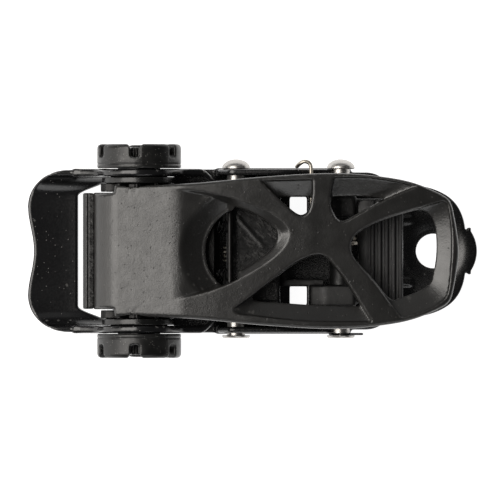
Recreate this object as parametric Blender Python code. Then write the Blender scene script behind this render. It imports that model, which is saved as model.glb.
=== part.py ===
"""Quick-release ratchet buckle for webbing, bolted down by the hole in its tail.

A stamped base channel and a scooped front frame are riveted together. A split drum with two
ratchet wheels and two castellated end caps turns in the front frame. A skeleton crank lever
with a sliding drive pawl winds it, a sprung holding pawl stops it, and a ribbed thumb lever
lifts the holding pawl to let the webbing go.

Sizes below are in millimetres and the meshes are made in metres. +X runs from the front scoop
to the bolt hole, +Y to the left of somebody looking that way, +Z up from the mounting face.
"""

import math

import bmesh
import bpy
from mathutils import Vector

MM = 0.001
GAP = 0.3

# Driving dimensions
AXLE_X, AXLE_Z = -27.75, 16.5
PIN1_X, PIN2_X, PIN_Z = -3.5, 22.75, 9.0
HOLE_X, HOLE_R = 46.0, 4.25
SINK_TOP_R, SINK_FOOT_R, SINK_FOOT_Z = 8.4, 5.1, 0.6

# Base channel
SHEET = 1.8
BASE_HALF = 20.5
WALL = 1.5
WALL_TOP = 14.0
WALL_FRONT, WALL_BACK = -8.0, 25.0
FLOOR_FRONT = -17.0
TAIL_X, TAIL_R = 36.0, 18.0
TAB_X, TAB_R = 50.5, 6.5
WINDOW_X = (10.0, 14.25)
WINDOW_Y = (8.6, 13.7)

# Front frame
ARM = 1.7
ARM_Y = 19.45
TAIL_Y = 15.25
JOG_FRONT, JOG_BACK = -12.5, -6.25
ARM_BOSS_R = 9.8
ARM_BORE_R = 7.5
SCOOP_FRONT, SCOOP_BACK = -55.9, -43.1
SCOOP_Z, SCOOP_SHEET, SCOOP_CORNER = 3.2, 1.5, 6.0
SCOOP_SIDE_TOP = 12.5
SCOOP_LIP = 1.4
WAIST = 1.5

# Drum and what turns with it
DRUM_R, DRUM_SLOT, DRUM_HALF_LENGTH = 5.6, 1.8, 24.0
BORE_R = DRUM_R + GAP
TEETH, TIP_R, ROOT_R = 12, 9.6, 7.6
STEEP_FACE = 8.0
WHEEL_Y = (14.9, 16.7)
CAP_R, CAP_Y = 10.5, (20.75, 26.75)
NOTCHES, NOTCH_WIDTH, NOTCH_DEPTH = 6, 3.0, 3.0
BUSH_FLANGE_R, BUSH_SLEEVE_R, BUSH_Y = 9.3, 7.2, (17.0, 18.3, 20.3)

# Rivets
RIVET_R, RIVET_HEAD_R, RIVET_HEAD_RISE = 2.25, 3.5, 2.0
RIVET_HEAD_Y, RIVET_TAIL_Y = 21.0, -21.15

# Crank lever
LEVER_FRONT, LEVER_TIP = -39.25, 52.4
LEVER_FOOT = 16.2
HOOD_HALF, LIP_HALF, LIP_BACK = 16.4, 14.6, -33.75
EAR_Y, EAR_R = (13.0, 14.6), 8.8
STRUT_DEPTH = 6.0
SCALLOP_X, SCALLOP_HOLE_R, SCALLOP_RIM_R, SCALLOP_FLOOR_Z = 0.0, 11.1, 16.9, 23.8

# Pawls
DRIVE_Z = (17.9, 19.3)
DRIVE_TIP_X, DRIVE_BACK_X = -18.0, -9.0
SPRING_BAR_X, SPRING_BAR_Z, SPRING_BAR_R = -5.0, 18.6, 0.9
THUMB_NOSE_X = 7.4
PAD_X, PAD_HALF = (26.9, 38.25), 13.1

SEGMENTS = 40


def clear_scene():
    for thing in list(bpy.data.objects):
        bpy.data.objects.remove(thing)


def material(name, colour, roughness, metallic):
    made = bpy.data.materials.new(name)
    made.use_nodes = True
    shader = made.node_tree.nodes["Principled BSDF"]
    shader.inputs["Base Color"].default_value = (*colour, 1.0)
    shader.inputs["Roughness"].default_value = roughness
    shader.inputs["Metallic"].default_value = metallic
    return made


# Mesh shapes, each a closed bmesh in millimetres

def outward(bm):
    bm.normal_update()
    bmesh.ops.recalc_face_normals(bm, faces=bm.faces)
    return bm


def prism(outline, low, high, plane="XY"):
    """An outline extruded: in XY along Z, in XZ along Y, or in YZ along X."""
    place = {
        "XY": lambda a, b, h: (a, b, h),
        "XZ": lambda a, b, h: (a, h, b),
        "YZ": lambda a, b, h: (h, a, b),
    }[plane]
    bm = bmesh.new()
    foot = bm.faces.new([bm.verts.new(place(a, b, low)) for a, b in outline])
    grown = bmesh.ops.extrude_face_region(bm, geom=[foot])
    raised = [v for v in grown["geom"] if isinstance(v, bmesh.types.BMVert)]
    shift = Vector(place(0, 0, high - low))
    bmesh.ops.translate(bm, vec=shift, verts=raised)
    return outward(bm)


def box(x, y, z):
    corners = [(x[0], y[0]), (x[1], y[0]), (x[1], y[1]), (x[0], y[1])]
    return prism(corners, z[0], z[1])


def loft(sections):
    """Closed sections with equal point counts, bridged in order and capped at both ends."""
    bm = bmesh.new()
    rings = [[bm.verts.new(point) for point in section] for section in sections]
    count = len(rings[0])
    for ring, following in zip(rings, rings[1:]):
        for i in range(count):
            j = (i + 1) % count
            bm.faces.new((ring[i], ring[j], following[j], following[i]))
    bm.faces.new(rings[0])
    bm.faces.new(rings[-1])
    return outward(bm)


def turned(profile, centre=(AXLE_X, AXLE_Z), segments=SEGMENTS, closed=False):
    """A profile of (radius, y) spun about the Y line through centre. An open one ends on the line."""
    bm = bmesh.new()
    verts = [bm.verts.new((centre[0] + r, y, centre[1])) for r, y in profile]
    ends = list(zip(verts, verts[1:]))
    if closed:
        ends.append((verts[-1], verts[0]))
    edges = [bm.edges.new(pair) for pair in ends]
    middle = (centre[0], 0, centre[1])
    bmesh.ops.spin(
        bm,
        geom=verts + edges,
        cent=middle,
        axis=(0, 1, 0),
        angle=math.tau,
        steps=segments,
        use_merge=True,
    )
    bmesh.ops.remove_doubles(bm, verts=bm.verts, dist=1e-4)
    return outward(bm)


def disc(radius, y, centre=(AXLE_X, AXLE_Z), segments=SEGMENTS):
    return turned([(0, y[0]), (radius, y[0]), (radius, y[1]), (0, y[1])], centre, segments)


def ring(outer, inner, y, centre=(AXLE_X, AXLE_Z), segments=SEGMENTS):
    profile = [(inner, y[0]), (outer, y[0]), (outer, y[1]), (inner, y[1])]
    return turned(profile, centre, segments, closed=True)


def upright(profile, x, segments=SEGMENTS):
    """A profile of (radius, z) spun about the vertical line through (x, 0)."""
    bm = turned(profile, (0, 0), segments)
    for vert in bm.verts:
        vert.co = Vector((x + vert.co.x, -vert.co.z, vert.co.y))
    return outward(bm)


def arc(centre, radius, first, last, steps):
    """Points on an arc, angles in degrees."""
    turns = [math.radians(first + (last - first) * i / steps) for i in range(steps + 1)]
    return [(centre[0] + radius * math.cos(t), centre[1] + radius * math.sin(t)) for t in turns]


def mirrored(outline):
    """A half outline given from front to back, closed by its mirror image in Y."""
    return outline + [(x, -y) for x, y in reversed(outline) if abs(y) > 1e-6]


# Objects

def add(name, bm, finish, pivot=(0, 0, 0), smooth=30):
    """Makes the named object, with its origin on the pivot."""
    pivot = Vector(pivot)
    bmesh.ops.translate(bm, vec=-pivot, verts=bm.verts)
    bmesh.ops.scale(bm, vec=(MM, MM, MM), verts=bm.verts)
    mesh = bpy.data.meshes.new(name)
    bm.to_mesh(mesh)
    bm.free()
    if smooth:
        mesh.shade_smooth()
        mesh.set_sharp_from_angle(angle=math.radians(smooth))
    if finish:
        mesh.materials.append(finish)
    made = bpy.data.objects.new(name, mesh)
    made.location = pivot * MM
    bpy.context.scene.collection.objects.link(made)
    return made


def shape(target, bm, operation, within=None):
    """Joins, cuts or intersects the target with a hidden shape, or with what a second one leaves of it."""
    tool = add(f"{target.name}_tool", bm, None, smooth=0)
    tool.hide_render = True
    tool.display_type = "WIRE"
    step = target.modifiers.new(operation.lower(), "BOOLEAN")
    step.operation = operation
    step.object = tool
    if within:
        shape(tool, within, "INTERSECT")


def cut(target, *tools):
    for tool in tools:
        shape(target, tool, "DIFFERENCE")


def join(target, *tools):
    for tool in tools:
        shape(target, tool, "UNION")


def wire(name, points, radius, finish):
    """A round wire along the points, with capped ends."""
    curve = bpy.data.curves.new(name, "CURVE")
    curve.dimensions = "3D"
    curve.bevel_depth = radius * MM
    curve.bevel_resolution = 1
    curve.use_fill_caps = True
    curve.materials.append(finish)
    spline = curve.splines.new("POLY")
    spline.points.add(len(points) - 1)
    for point, place in zip(spline.points, points):
        point.co = (*(Vector(place) * MM), 1)
    made = bpy.data.objects.new(name, curve)
    bpy.context.scene.collection.objects.link(made)
    return made


def sides():
    """The two sides, as a name and the sign of Y."""
    return (("left", 1), ("right", -1))


def span(sign, y):
    """A Y range given for the left side, taken to the side asked for."""
    return tuple(sorted((sign * y[0], sign * y[1])))


# Base channel: floor, two walls, a sunk bolt hole and a rounded tail

def base_outline():
    tail = arc((TAIL_X, 0), TAIL_R, 96, 19.5, 12)
    tab = arc((TAB_X, 0), TAB_R, 67, 0, 6)
    return mirrored(
        [(FLOOR_FRONT, BASE_HALF), (WALL_BACK, BASE_HALF), (25.5, 19.75), (31.0, 19.75)] + tail + tab
    )


def make_base(finish):
    base = add("base_channel", prism(base_outline(), 0, SHEET), finish)
    wall = [
        (WALL_FRONT, SHEET / 2),
        (WALL_FRONT, 7.5),
        (-5.5, WALL_TOP - 0.5),
        (-4.5, WALL_TOP),
        (23.8, WALL_TOP),
        (WALL_BACK - 0.2, 12.8),
        (WALL_BACK - 0.2, SHEET / 2),
    ]
    for _, sign in sides():
        y = span(sign, (BASE_HALF - WALL, BASE_HALF - 0.02))
        join(base, prism(wall, *y, "XZ"))
        rail = span(sign, (7.0, 8.3))
        join(base, prism([(27, 1), (27, 2.9), (39.5, 2.9), (41, 1)], *rail, "XZ"))
        cut(base, box(WINDOW_X, span(sign, WINDOW_Y), (-1, SHEET + 1)))
    sink_rise = (SINK_TOP_R - SINK_FOOT_R) / (SHEET - SINK_FOOT_Z)
    sink = [(0, -1), (HOLE_R, -1), (HOLE_R, SINK_FOOT_Z), (SINK_FOOT_R, SINK_FOOT_Z)]
    sink += [(SINK_TOP_R + sink_rise, SHEET + 1), (0, SHEET + 1)]
    cut(base, upright(sink, HOLE_X))
    for x in (PIN1_X, PIN2_X):
        cut(base, disc(RIVET_R + GAP, (-25, 25), (x, PIN_Z), 24))
    return base


# Front frame: a drawn scoop between two arms that step in beside the base walls

def arm_section(x):
    """Lowest and highest point of the arm at x, and the middle of its thickness in Y."""
    back = min(max((x - AXLE_X) / (JOG_BACK - AXLE_X), 0), 1)
    front = min(max((AXLE_X - x) / (AXLE_X - SCOOP_BACK), 0), 1)
    low = 8.0 + (4.5 - 8.0) * back + (SCOOP_Z - 8.0) * front
    high = 21.0 + (13.0 - 21.0) * back + (SCOOP_SIDE_TOP - 21.0) * front
    share = min(max((x - JOG_FRONT) / (JOG_BACK - JOG_FRONT), 0), 1)
    eased = share * share * (3 - 2 * share)
    middle = ARM_Y + (TAIL_Y - ARM_Y) * eased
    over_boss = ARM_BOSS_R**2 - (x - AXLE_X) ** 2
    if over_boss > 0:
        boss = math.sqrt(over_boss)
        low, high = min(low, AXLE_Z - boss), max(high, AXLE_Z + boss)
    narrowing = max(-42.0 - x, 0)
    return low + 1.4 * narrowing, high - 0.7 * narrowing, middle


def arm(sign):
    stations = [-44.6, -42.0, -39.5]
    stations += [AXLE_X - ARM_BOSS_R * math.cos(math.radians(a)) for a in range(15, 180, 15)]
    stations += [JOG_FRONT, -10.9, -9.4, -7.8, JOG_BACK, 10.0, 26.0]
    sections = []
    for x in sorted(stations):
        low, high, middle = arm_section(x)
        near, far = sign * (middle - ARM / 2), sign * (middle + ARM / 2)
        sections.append([(x, near, low), (x, far, low), (x, far, high), (x, near, high)])
    return loft(sections)


def scoop_line():
    """The scoop's section across the frame, from the middle of the floor up one side."""
    corner = (ARM_Y - SCOOP_CORNER, SCOOP_Z + SCOOP_CORNER)
    flat = [(corner[0] * i / 6, SCOOP_Z) for i in range(6)]
    bend = arc(corner, SCOOP_CORNER, -90, 0, 6)
    return flat + bend + [(ARM_Y, SCOOP_SIDE_TOP)]


def scoop_edges(y, z):
    """Where the scoop starts and ends along X, at one point of its section."""
    across = min(abs(y) / ARM_Y, 1)
    climb = max(z - SCOOP_Z, 0) / (SCOOP_SIDE_TOP - SCOOP_Z)
    waist = WAIST * (math.cos(math.pi * min(abs(y) / 11.5, 1)) + 1) / 2
    corner = max(across - 0.55, 0) / 0.45
    front = SCOOP_FRONT + waist + 9.0 * corner**2.4 + 1.5 * climb
    diagonal = min(max((abs(y) - 14.3) / 3.0, 0), 1)
    return front, SCOOP_BACK + 5.0 * diagonal


def scoop():
    """The scoop's middle surface, thickened afterwards."""
    half = scoop_line()
    line = [(-y, z) for y, z in reversed(half[1:])] + half
    bm = bmesh.new()
    rows = 6
    columns = []
    for y, z in line:
        front, back = scoop_edges(y, z)
        shares = [row / rows for row in range(rows + 1)]
        lip = SCOOP_LIP * max(1 - (z - SCOOP_Z) / SCOOP_CORNER, 0)
        points = [(front + (back - front) * t, y, z + lip * (1 - t) ** 2) for t in shares]
        columns.append([bm.verts.new(p) for p in points])
    for column, following in zip(columns, columns[1:]):
        for j in range(rows):
            bm.faces.new((column[j], following[j], following[j + 1], column[j + 1]))
    return outward(bm)


def make_front_frame(finish):
    frame = add("front_frame", scoop(), finish)
    thick = frame.modifiers.new("sheet", "SOLIDIFY")
    thick.thickness = SCOOP_SHEET * MM
    thick.offset = 0
    thick.use_even_offset = True
    for _, sign in sides():
        join(frame, arm(sign))
    cut(frame, disc(ARM_BORE_R, (-25, 25)))
    for x in (PIN1_X, PIN2_X):
        cut(frame, disc(RIVET_R + GAP, (-25, 25), (x, PIN_Z), 24))
    return frame


def make_bushes(finish):
    inner, middle, outer = BUSH_Y
    profile = [
        (BORE_R, inner),
        (BUSH_FLANGE_R, inner),
        (BUSH_FLANGE_R, middle),
        (BUSH_SLEEVE_R, middle),
        (BUSH_SLEEVE_R, outer),
        (BORE_R, outer),
    ]
    for name, sign in sides():
        add(f"arm_bush_{name}", turned([(r, sign * y) for r, y in profile], closed=True), finish)


# Rivets, the saddle over the holding pawl, and the clip on the rear rivet

def make_rivet(name, x, finish):
    dome = [
        (RIVET_HEAD_R * math.cos(t), RIVET_HEAD_Y + RIVET_HEAD_RISE * math.sin(t))
        for t in (math.radians(a) for a in range(0, 90, 18))
    ]
    profile = [(0, RIVET_TAIL_Y - 0.7), (RIVET_HEAD_R - 0.3, RIVET_TAIL_Y - 0.7)]
    profile += [(RIVET_HEAD_R, RIVET_TAIL_Y - 0.3), (RIVET_HEAD_R, RIVET_TAIL_Y), (RIVET_R, RIVET_TAIL_Y)]
    profile += [(RIVET_R, RIVET_HEAD_Y - 0.2), (RIVET_HEAD_R - 0.4, RIVET_HEAD_Y - 0.2)]
    profile += dome + [(0, RIVET_HEAD_Y + RIVET_HEAD_RISE)]
    add(name, turned(profile, (x, PIN_Z), 24), finish)


def make_saddle(finish):
    """A bent plate between the frame tails, held by the front rivet."""
    plate = add("pawl_saddle", box((-5, 7.5), (-14.1, 14.1), (13.2, 14.7)), finish)
    for _, sign in sides():
        join(plate, box((-4.98, 7.48), span(sign, (12.8, 14.08)), (6.0, 14.0)))
    gusset = [(-3.5, 14.5), (4.5, 14.5), (0.5, 15.2)]
    join(plate, prism(gusset, 1.0, 6.5, "XZ"))
    cut(plate, disc(RIVET_R + GAP, (-25, 25), (PIN1_X, PIN_Z), 24))


def make_clip(finish):
    clip = [(19.7, 6.2), (28.4, 6.8), (28.4, 11.2), (19.7, 11.8)]
    clip_y = (-BASE_HALF - 0.6, -BASE_HALF - 0.05)
    plate = add("rear_rivet_washer", prism(clip, *clip_y, "XZ"), finish)
    cut(plate, disc(RIVET_R + GAP, (-25, 0), (PIN2_X, PIN_Z), 24))


# Drum: two half-round bars, the wheels and caps that they drive

def half_round(radius, flat, sign):
    """A half-round outline in XZ on one side of the drum's slot, which lies level."""
    start = math.degrees(math.asin(flat / radius))
    points = arc((0, 0), radius, start, 180 - start, 16)
    return [(AXLE_X + x, AXLE_Z + sign * z) for x, z in points]


def key_holes(y):
    """The two half-round holes that seat a part on the drum bars."""
    flat = DRUM_SLOT / 2 - GAP
    return [prism(half_round(BORE_R, flat, sign), *y, "XZ") for sign in (1, -1)]


def wheel_outline():
    points = []
    for tooth in range(TEETH):
        start = STEEP_FACE + tooth * 360 / TEETH
        for radius, angle in ((ROOT_R, 0), (ROOT_R, 11), (TIP_R, 23), (TIP_R, 27)):
            turn = math.radians(start + angle)
            points.append((AXLE_X + radius * math.cos(turn), AXLE_Z + radius * math.sin(turn)))
    return points


def cap_profile(sign):
    inner, outer = CAP_Y
    profile = [(0, inner), (CAP_R - 0.5, inner), (CAP_R, inner + 0.5), (CAP_R, outer - 1.0)]
    profile += [(CAP_R - 0.3, outer - 0.3), (CAP_R - 1.0, outer), (7.4, outer), (7.0, outer - 0.8)]
    profile += [(0, outer - 0.8)]
    return [(r, sign * y) for r, y in profile]


def notch(angle, sign):
    """A castellation: a block through the cap's rim at its outer face."""
    block = box((6.3, CAP_R + 2), (0, NOTCH_DEPTH + 1), (-NOTCH_WIDTH / 2, NOTCH_WIDTH / 2))
    turn = math.radians(angle)
    for vert in block.verts:
        x, y, z = vert.co
        vert.co.x = AXLE_X + x * math.cos(turn) - z * math.sin(turn)
        vert.co.z = AXLE_Z + x * math.sin(turn) + z * math.cos(turn)
        vert.co.y = sign * (CAP_Y[1] + 1 - y)
    return outward(block)


def make_drum(steel, black, plastic, pivot):
    length = (-DRUM_HALF_LENGTH, DRUM_HALF_LENGTH)
    for name, sign in (("upper", 1), ("lower", -1)):
        add(f"drum_bar_{name}", prism(half_round(DRUM_R, DRUM_SLOT / 2, sign), *length, "XZ"), black, pivot)
    for name, sign in sides():
        y = span(sign, WHEEL_Y)
        wheel = add(f"ratchet_wheel_{name}", prism(wheel_outline(), *y, "XZ"), steel, pivot)
        cut(wheel, *key_holes((y[0] - 1, y[1] + 1)))
        cap = add(f"end_cap_{name}", turned(cap_profile(sign), segments=48), plastic, pivot)
        cut(cap, *key_holes(span(sign, (CAP_Y[0] - 1, DRUM_HALF_LENGTH + GAP))))
        cut(cap, *[notch(90 + i * 360 / NOTCHES, sign) for i in range(NOTCHES)])
        face = CAP_Y[1] - 0.8
        screw = [(0, face + 0.05), (3.0, face + 0.05), (3.0, face + 0.5), (2.4, face + 0.75), (0, face + 0.75)]
        add(f"cap_screw_{name}", turned([(r, sign * h) for r, h in screw], segments=24), steel, pivot)


# Crank lever: a cast skeleton with a hood over the drum

LEVER_HALF = [
    (LEVER_FRONT, LIP_HALF),
    (LIP_BACK - 0.4, LIP_HALF),
    (LIP_BACK, HOOD_HALF),
    (-25.0, HOOD_HALF),
    (-12.5, 17.0),
    (0.0, 18.3),
    (12.5, 19.2),
    (20.0, 19.5),
    (27.5, 19.3),
    (37.5, 18.0),
    (42.5, 16.6),
    (47.5, 14.4),
    (49.6, 13.1),
    (50.5, 11.4),
    (51.6, 6.0),
    (LEVER_TIP, 0.0),
]

LEVER_CROWN = [
    (LEVER_FRONT, 21.5),
    (-38.6, 23.6),
    (-36.8, 25.6),
    (-33.75, 27.2),
    (-28.0, 28.2),
    (-15.0, 28.6),
    (0.0, 28.2),
    (15.0, 27.2),
    (30.0, 25.4),
    (42.0, 23.2),
    (LEVER_TIP + 1, 20.6),
]

# Each window is drawn twice: its edge on the lever's face, and its smaller opening below.
WINDOW_UPPER_SMALL = (
    [(2.75, 17.6), (11.0, 9.4), (12.9, 8.6), (14.75, 9.75), (15.75, 14.3), (15.6, 17.9)],
    [(7.0, 13.6), (11.2, 9.5), (12.9, 8.8), (14.5, 9.9), (15.3, 12.0), (15.4, 13.6)],
)
WINDOW_UPPER_LARGE = (
    [(20.9, 18.4), (19.9, 13.3), (20.1, 10.7), (21.3, 8.1), (22.6, 7.3), (23.95, 7.6), (33.1, 12.7),
     (41.5, 16.2), (33.7, 17.9), (27.5, 18.5)],
    [(20.6, 13.6), (20.1, 12.0), (20.3, 10.7), (21.5, 8.3), (22.6, 7.5), (23.8, 7.8), (29.5, 10.9),
     (33.3, 12.9), (30.5, 13.4), (26.0, 13.7)],
)
WINDOW_TIP = (
    [(24.9, 0.9), (25.2, 2.9), (26.9, 5.0), (32.7, 8.0), (42.0, 10.8), (48.6, 12.6), (49.5, 11.8),
     (50.4, 6.6), (50.6, 0.0), (49.9, -8.8), (49.2, -11.6), (46.2, -13.9), (42.0, -15.6),
     (37.9, -16.8), (34.5, -12.6), (31.2, -7.9), (27.5, -3.8), (25.6, -1.4)],
    [(25.1, 0.9), (25.4, 2.8), (27.0, 4.7), (32.7, 7.7), (42.3, 10.5), (44.6, 9.6), (45.9, 7.6),
     (46.5, 4.0), (46.6, 0.0), (45.8, -5.8), (45.0, -8.3), (43.0, -9.8), (40.0, -10.9),
     (35.6, -12.3), (33.8, -10.9), (31.3, -7.6), (27.7, -3.7), (25.8, -1.4)],
)
WINDOW_LOWER = (
    [(16.5, -0.7), (13.2, -1.8), (9.85, -3.8), (0.2, -11.4), (-3.6, -14.1), (-3.9, -15.0),
     (-2.8, -15.7), (9.85, -17.2), (16.5, -17.7), (30.6, -17.7), (24.1, -7.55), (22.2, -5.1),
     (19.9, -2.1), (18.4, -1.0)],
    [(16.5, -0.9), (13.3, -2.0), (10.0, -4.0), (4.0, -8.6), (1.0, -11.2), (1.0, -12.2),
     (2.2, -12.7), (10.0, -13.1), (16.5, -13.6), (27.8, -13.8), (23.8, -7.6), (22.0, -5.2),
     (19.8, -2.3), (18.3, -1.2)],
)

# The creases between the hood and its two rims. They meet behind the teardrop, left of the middle.
CREASE_LEFT = [(-24.0, 16.1), (-12.5, 14.5), (-3.4, 12.2), (3.5, 10.3), (9.0, 6.9), (10.0, 4.3)]
CREASE_RIGHT = [(-24.0, -14.0), (-14.0, -11.2), (-8.9, -9.6), (-4.1, -7.5), (1.6, -4.9), (6.4, -1.3), (9.2, 1.8)]
TEARDROP = (
    [(-5.0, 10.2), (-3.2, 11.4), (3.5, 10.0), (8.7, 6.7), (9.7, 4.3), (8.9, 1.9), (6.2, -1.0), (1.5, -4.5),
     (-4.1, -7.1), (-7.5, -8.8), (-9.0, -7.2)],
    [(-5.0, 9.4), (-3.2, 10.6), (3.2, 8.0), (6.3, 6.0), (7.2, 4.3), (6.6, 2.6), (4.9, 0.5), (1.4, -2.8),
     (-3.2, -5.6), (-6.5, -7.2), (-8.2, -6.6)],
)
HOOD_STEP, HOOD_STEP_X = 1.2, (-24.0, -10.0)
WINDOW_LIP = 0.6
ABOVE_LEVER, BELOW_STRUTS = 34.0, 10.0

# The lever's hollows seen from the side, and the plan of the hollow below its struts
STRUT_PLAN = [(-3.15, 15.3), (12, 16.4), (20, 16.7), (30, 16.3), (40, 14.4), (48, 10.5)]
WEB_SPACE = [(-37.7, 10), (-37.7, 21.6), (-36.4, 23.9), (-33.4, 25.5), (-28, 26.4), (-19.5, 26.4), (-13.0, 22.4),
             (-3.0, 22.4), (-3.0, 10)]
CHEEK = [(-27.75, 12.0), (-10.0, 13.6), (-6.5, 15.3), (-3.2, 16.5), (-3.2, 24.0), (-27.75, 24.0)]
PAWL_SLOT_X, PAWL_SLOT_Z = (-20.3, -8.4), (17.6, 19.6)
HOOD_FOOT, HOOD_BACK = 14.5, -20.0


def crown(x):
    """Height of the lever's face at x."""
    for (x0, z0), (x1, z1) in zip(LEVER_CROWN, LEVER_CROWN[1:]):
        if x <= x1:
            return z0 + (z1 - z0) * (x - x0) / (x1 - x0)
    return LEVER_CROWN[-1][1]


def tapered(window):
    """A window's cutter: straight below the lever's face, then drawn in to its lower opening."""
    face, opening = window
    lid = [(x, y, ABOVE_LEVER) for x, y in face]
    shoulder = [(x, y, crown(x) - WINDOW_LIP) for x, y in face]
    throat = [(x, y, crown(x) - STRUT_DEPTH) for x, y in opening]
    foot = [(x, y, BELOW_STRUTS) for x, y in opening]
    return loft([lid, shoulder, throat, foot])


def hood_step():
    """Lowers the hood between the two rims, from nothing at the front to the full step at the scallop."""
    start, end = HOOD_STEP_X
    lid, foot = [], []
    for x, y in CREASE_LEFT + CREASE_RIGHT[::-1]:
        share = min(max((x - start) / (end - start), 0), 1)
        lid.append((x, y, ABOVE_LEVER))
        foot.append((x, y, crown(x) - 0.05 - HOOD_STEP * share))
    return loft([lid, foot])


def lever_side():
    """The lever seen from the side, hood to tip, before it is hollowed."""
    foot = [(LEVER_TIP + 1, LEVER_FOOT), (HOOD_BACK, LEVER_FOOT), (HOOD_BACK, HOOD_FOOT), (LEVER_FRONT, HOOD_FOOT)]
    return LEVER_CROWN + foot


def make_lever(finish, pivot):
    lever = add("crank_lever", prism(lever_side(), -21, 21, "XZ"), finish, pivot)
    shape(lever, prism(mirrored(LEVER_HALF), 5, 40), "INTERSECT")
    hollow_struts(lever)
    hollow_hood(lever)
    cut(lever, hood_step())
    cut_scallop(lever)
    for window in (TEARDROP, WINDOW_UPPER_SMALL, WINDOW_UPPER_LARGE, WINDOW_TIP, WINDOW_LOWER):
        cut(lever, tapered(window))


def hollow_struts(lever):
    """Makes the struts shallower than the rim around them."""
    under = [(x, crown(x) - STRUT_DEPTH) for x in (42, 28, 14)]
    hollow = [(-3.1, 15), (14, 15), (49, 15), (49, 18.0)] + under + [(-3.1, 22.4)]
    shape(lever, prism(hollow, -21, 21, "XZ"), "DIFFERENCE", within=prism(mirrored(STRUT_PLAN), 10, 40))


def hollow_hood(lever):
    """Room for the webbing between the ears and for the wheels outside them, then the ears' openings."""
    cut(lever, prism(WEB_SPACE, -EAR_Y[0], EAR_Y[0], "XZ"))
    for _, sign in sides():
        outside = span(sign, (EAR_Y[1], 19))
        cut(lever, disc(TIP_R + 0.5, outside))
        cut(lever, box((-40, HOOD_BACK), outside, (10, AXLE_Z)))
        cut(lever, box((-22, -8.5), outside, (14, 21)))
        ear = span(sign, EAR_Y)
        join(lever, disc(EAR_R, (ear[0] + 0.01, ear[1] - 0.01)))
        join(lever, prism(CHEEK, ear[0] + 0.02, ear[1] - 0.02, "XZ"))
        cut(lever, box(PAWL_SLOT_X, (ear[0] - 1, ear[1] + 1), PAWL_SLOT_Z))
    cut(lever, disc(BORE_R, (-20, 20)))
    cut(lever, disc(SPRING_BAR_R + GAP, (-16, 16), (SPRING_BAR_X, SPRING_BAR_Z), 16))


def cut_scallop(lever):
    """A conical finger recess around the scallop's hole, kept between the two rims."""
    rim_z = crown(SCALLOP_X - SCALLOP_RIM_R) - 1.0
    recess = [(0, 21.0), (SCALLOP_HOLE_R, 21.0), (SCALLOP_HOLE_R, SCALLOP_FLOOR_Z), (SCALLOP_RIM_R, rim_z)]
    recess += [(SCALLOP_RIM_R + 3.0, rim_z + 2.6), (0, rim_z + 2.6)]
    between = [(x, y - 0.5) for x, y in CREASE_LEFT] + [(x, y + 0.5) for x, y in CREASE_RIGHT[::-1]]
    bowl = upright(recess, SCALLOP_X, 64)
    shape(lever, bowl, "DIFFERENCE", within=prism(between, 20.0, 33.0))


def make_web_guard(finish, pivot):
    """The strip along the hood's front lip that keeps the webbing off the lever."""
    outline = [(-41.75, 15.6), (-41.75, 20.2), (-41.0, 21.0), (-39.55, 21.0), (-39.55, 15.6)]
    add("web_guard", prism(outline, -14.5, 14.5, "XZ"), finish, pivot)


def make_drive_pawl(finish):
    """A flat plate through the lever's cheeks, with a finger over each ratchet wheel."""
    tip, back, reach, inner = DRIVE_TIP_X, DRIVE_BACK_X, WHEEL_Y[1] - 0.1, WHEEL_Y[0]
    half = [(back, 0.0), (back, reach), (tip, reach), (tip, inner), (-13.2, inner - 0.7), (-13.2, 0.0)]
    outline = half + [(x, -y) for x, y in reversed(half[1:-1])]
    add("drive_pawl", prism(outline, *DRIVE_Z), finish)


def make_spring_bar(finish, pivot):
    bar = disc(SPRING_BAR_R, (-14.5, 14.5), (SPRING_BAR_X, SPRING_BAR_Z), 16)
    add("spring_bar", bar, finish, pivot)


def coil(centre, radius, turns, pitch, axis, points_per_turn=12, start=0.0, hand=1):
    """Points of a coil about a line along X or Y."""
    points = []
    for i in range(int(turns * points_per_turn) + 1):
        turn = start + hand * math.tau * i / points_per_turn
        along = pitch * i / points_per_turn
        a, b = radius * math.cos(turn), radius * math.sin(turn)
        if axis == "X":
            points.append((centre[0] + along, centre[1] + a, centre[2] + b))
        else:
            points.append((centre[0] + a, centre[1] + along, centre[2] + b))
    return points


def make_pawl_springs(finish):
    """The two compression springs between the drive pawl and the spring bar."""
    for name, y in (("left", 6.0), ("right", -6.0)):
        wire(f"pawl_spring_{name}", coil((-8.4, y, SPRING_BAR_Z), 1.3, 2.0, 1.0, "X", 10), 0.25, finish)


# Holding pawl and thumb lever

def make_hold_pawl(finish, pivot):
    hub = (PIN1_X, PIN_Z)
    pawl = add("hold_pawl", ring(3.8, RIVET_R + GAP, (5.0, 12.5), hub, 24), finish, pivot)
    join(pawl, ring(3.8, RIVET_R + GAP, (-12.5, -5.0), hub, 24))
    plate = [(-15.0, 7.9), (-7.6, 7.9), (-7.6, 9.6), (-15.0, 9.6)]
    join(pawl, prism(plate, -12.4, 12.4, "XZ"))
    tip_low, tip_high = arc((AXLE_X, AXLE_Z), 8.1, -45.5, -40.0, 1)
    finger = [tip_low, (-12.0, 7.8), (-12.0, 9.7), tip_high]
    cross = [(-14.8, 7.95), (-12.05, 7.85), (-12.05, 9.5), (-14.8, 9.55)]
    for _, sign in sides():
        join(pawl, prism(cross, *span(sign, (12.0, 16.0)), "XZ"))
        join(pawl, prism(finger, *span(sign, (15.0, 16.55)), "XZ"))
    tail = [(PIN1_X + 3.0, 8.0), (PIN1_X + 3.0, 10.9), (9.0, 10.9), (9.0, 9.65), (2.5, 8.0)]
    for _, sign in sides():
        join(pawl, box((-8.0, -6.4), span(sign, (5.1, 12.3)), (7.95, 9.55)))
        join(pawl, prism(tail, *span(sign, (5.1, 6.5)), "XZ"))
    join(pawl, box((6.8, 8.98), (-5.6, 5.6), (9.67, 10.88)))
    return pawl


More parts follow.
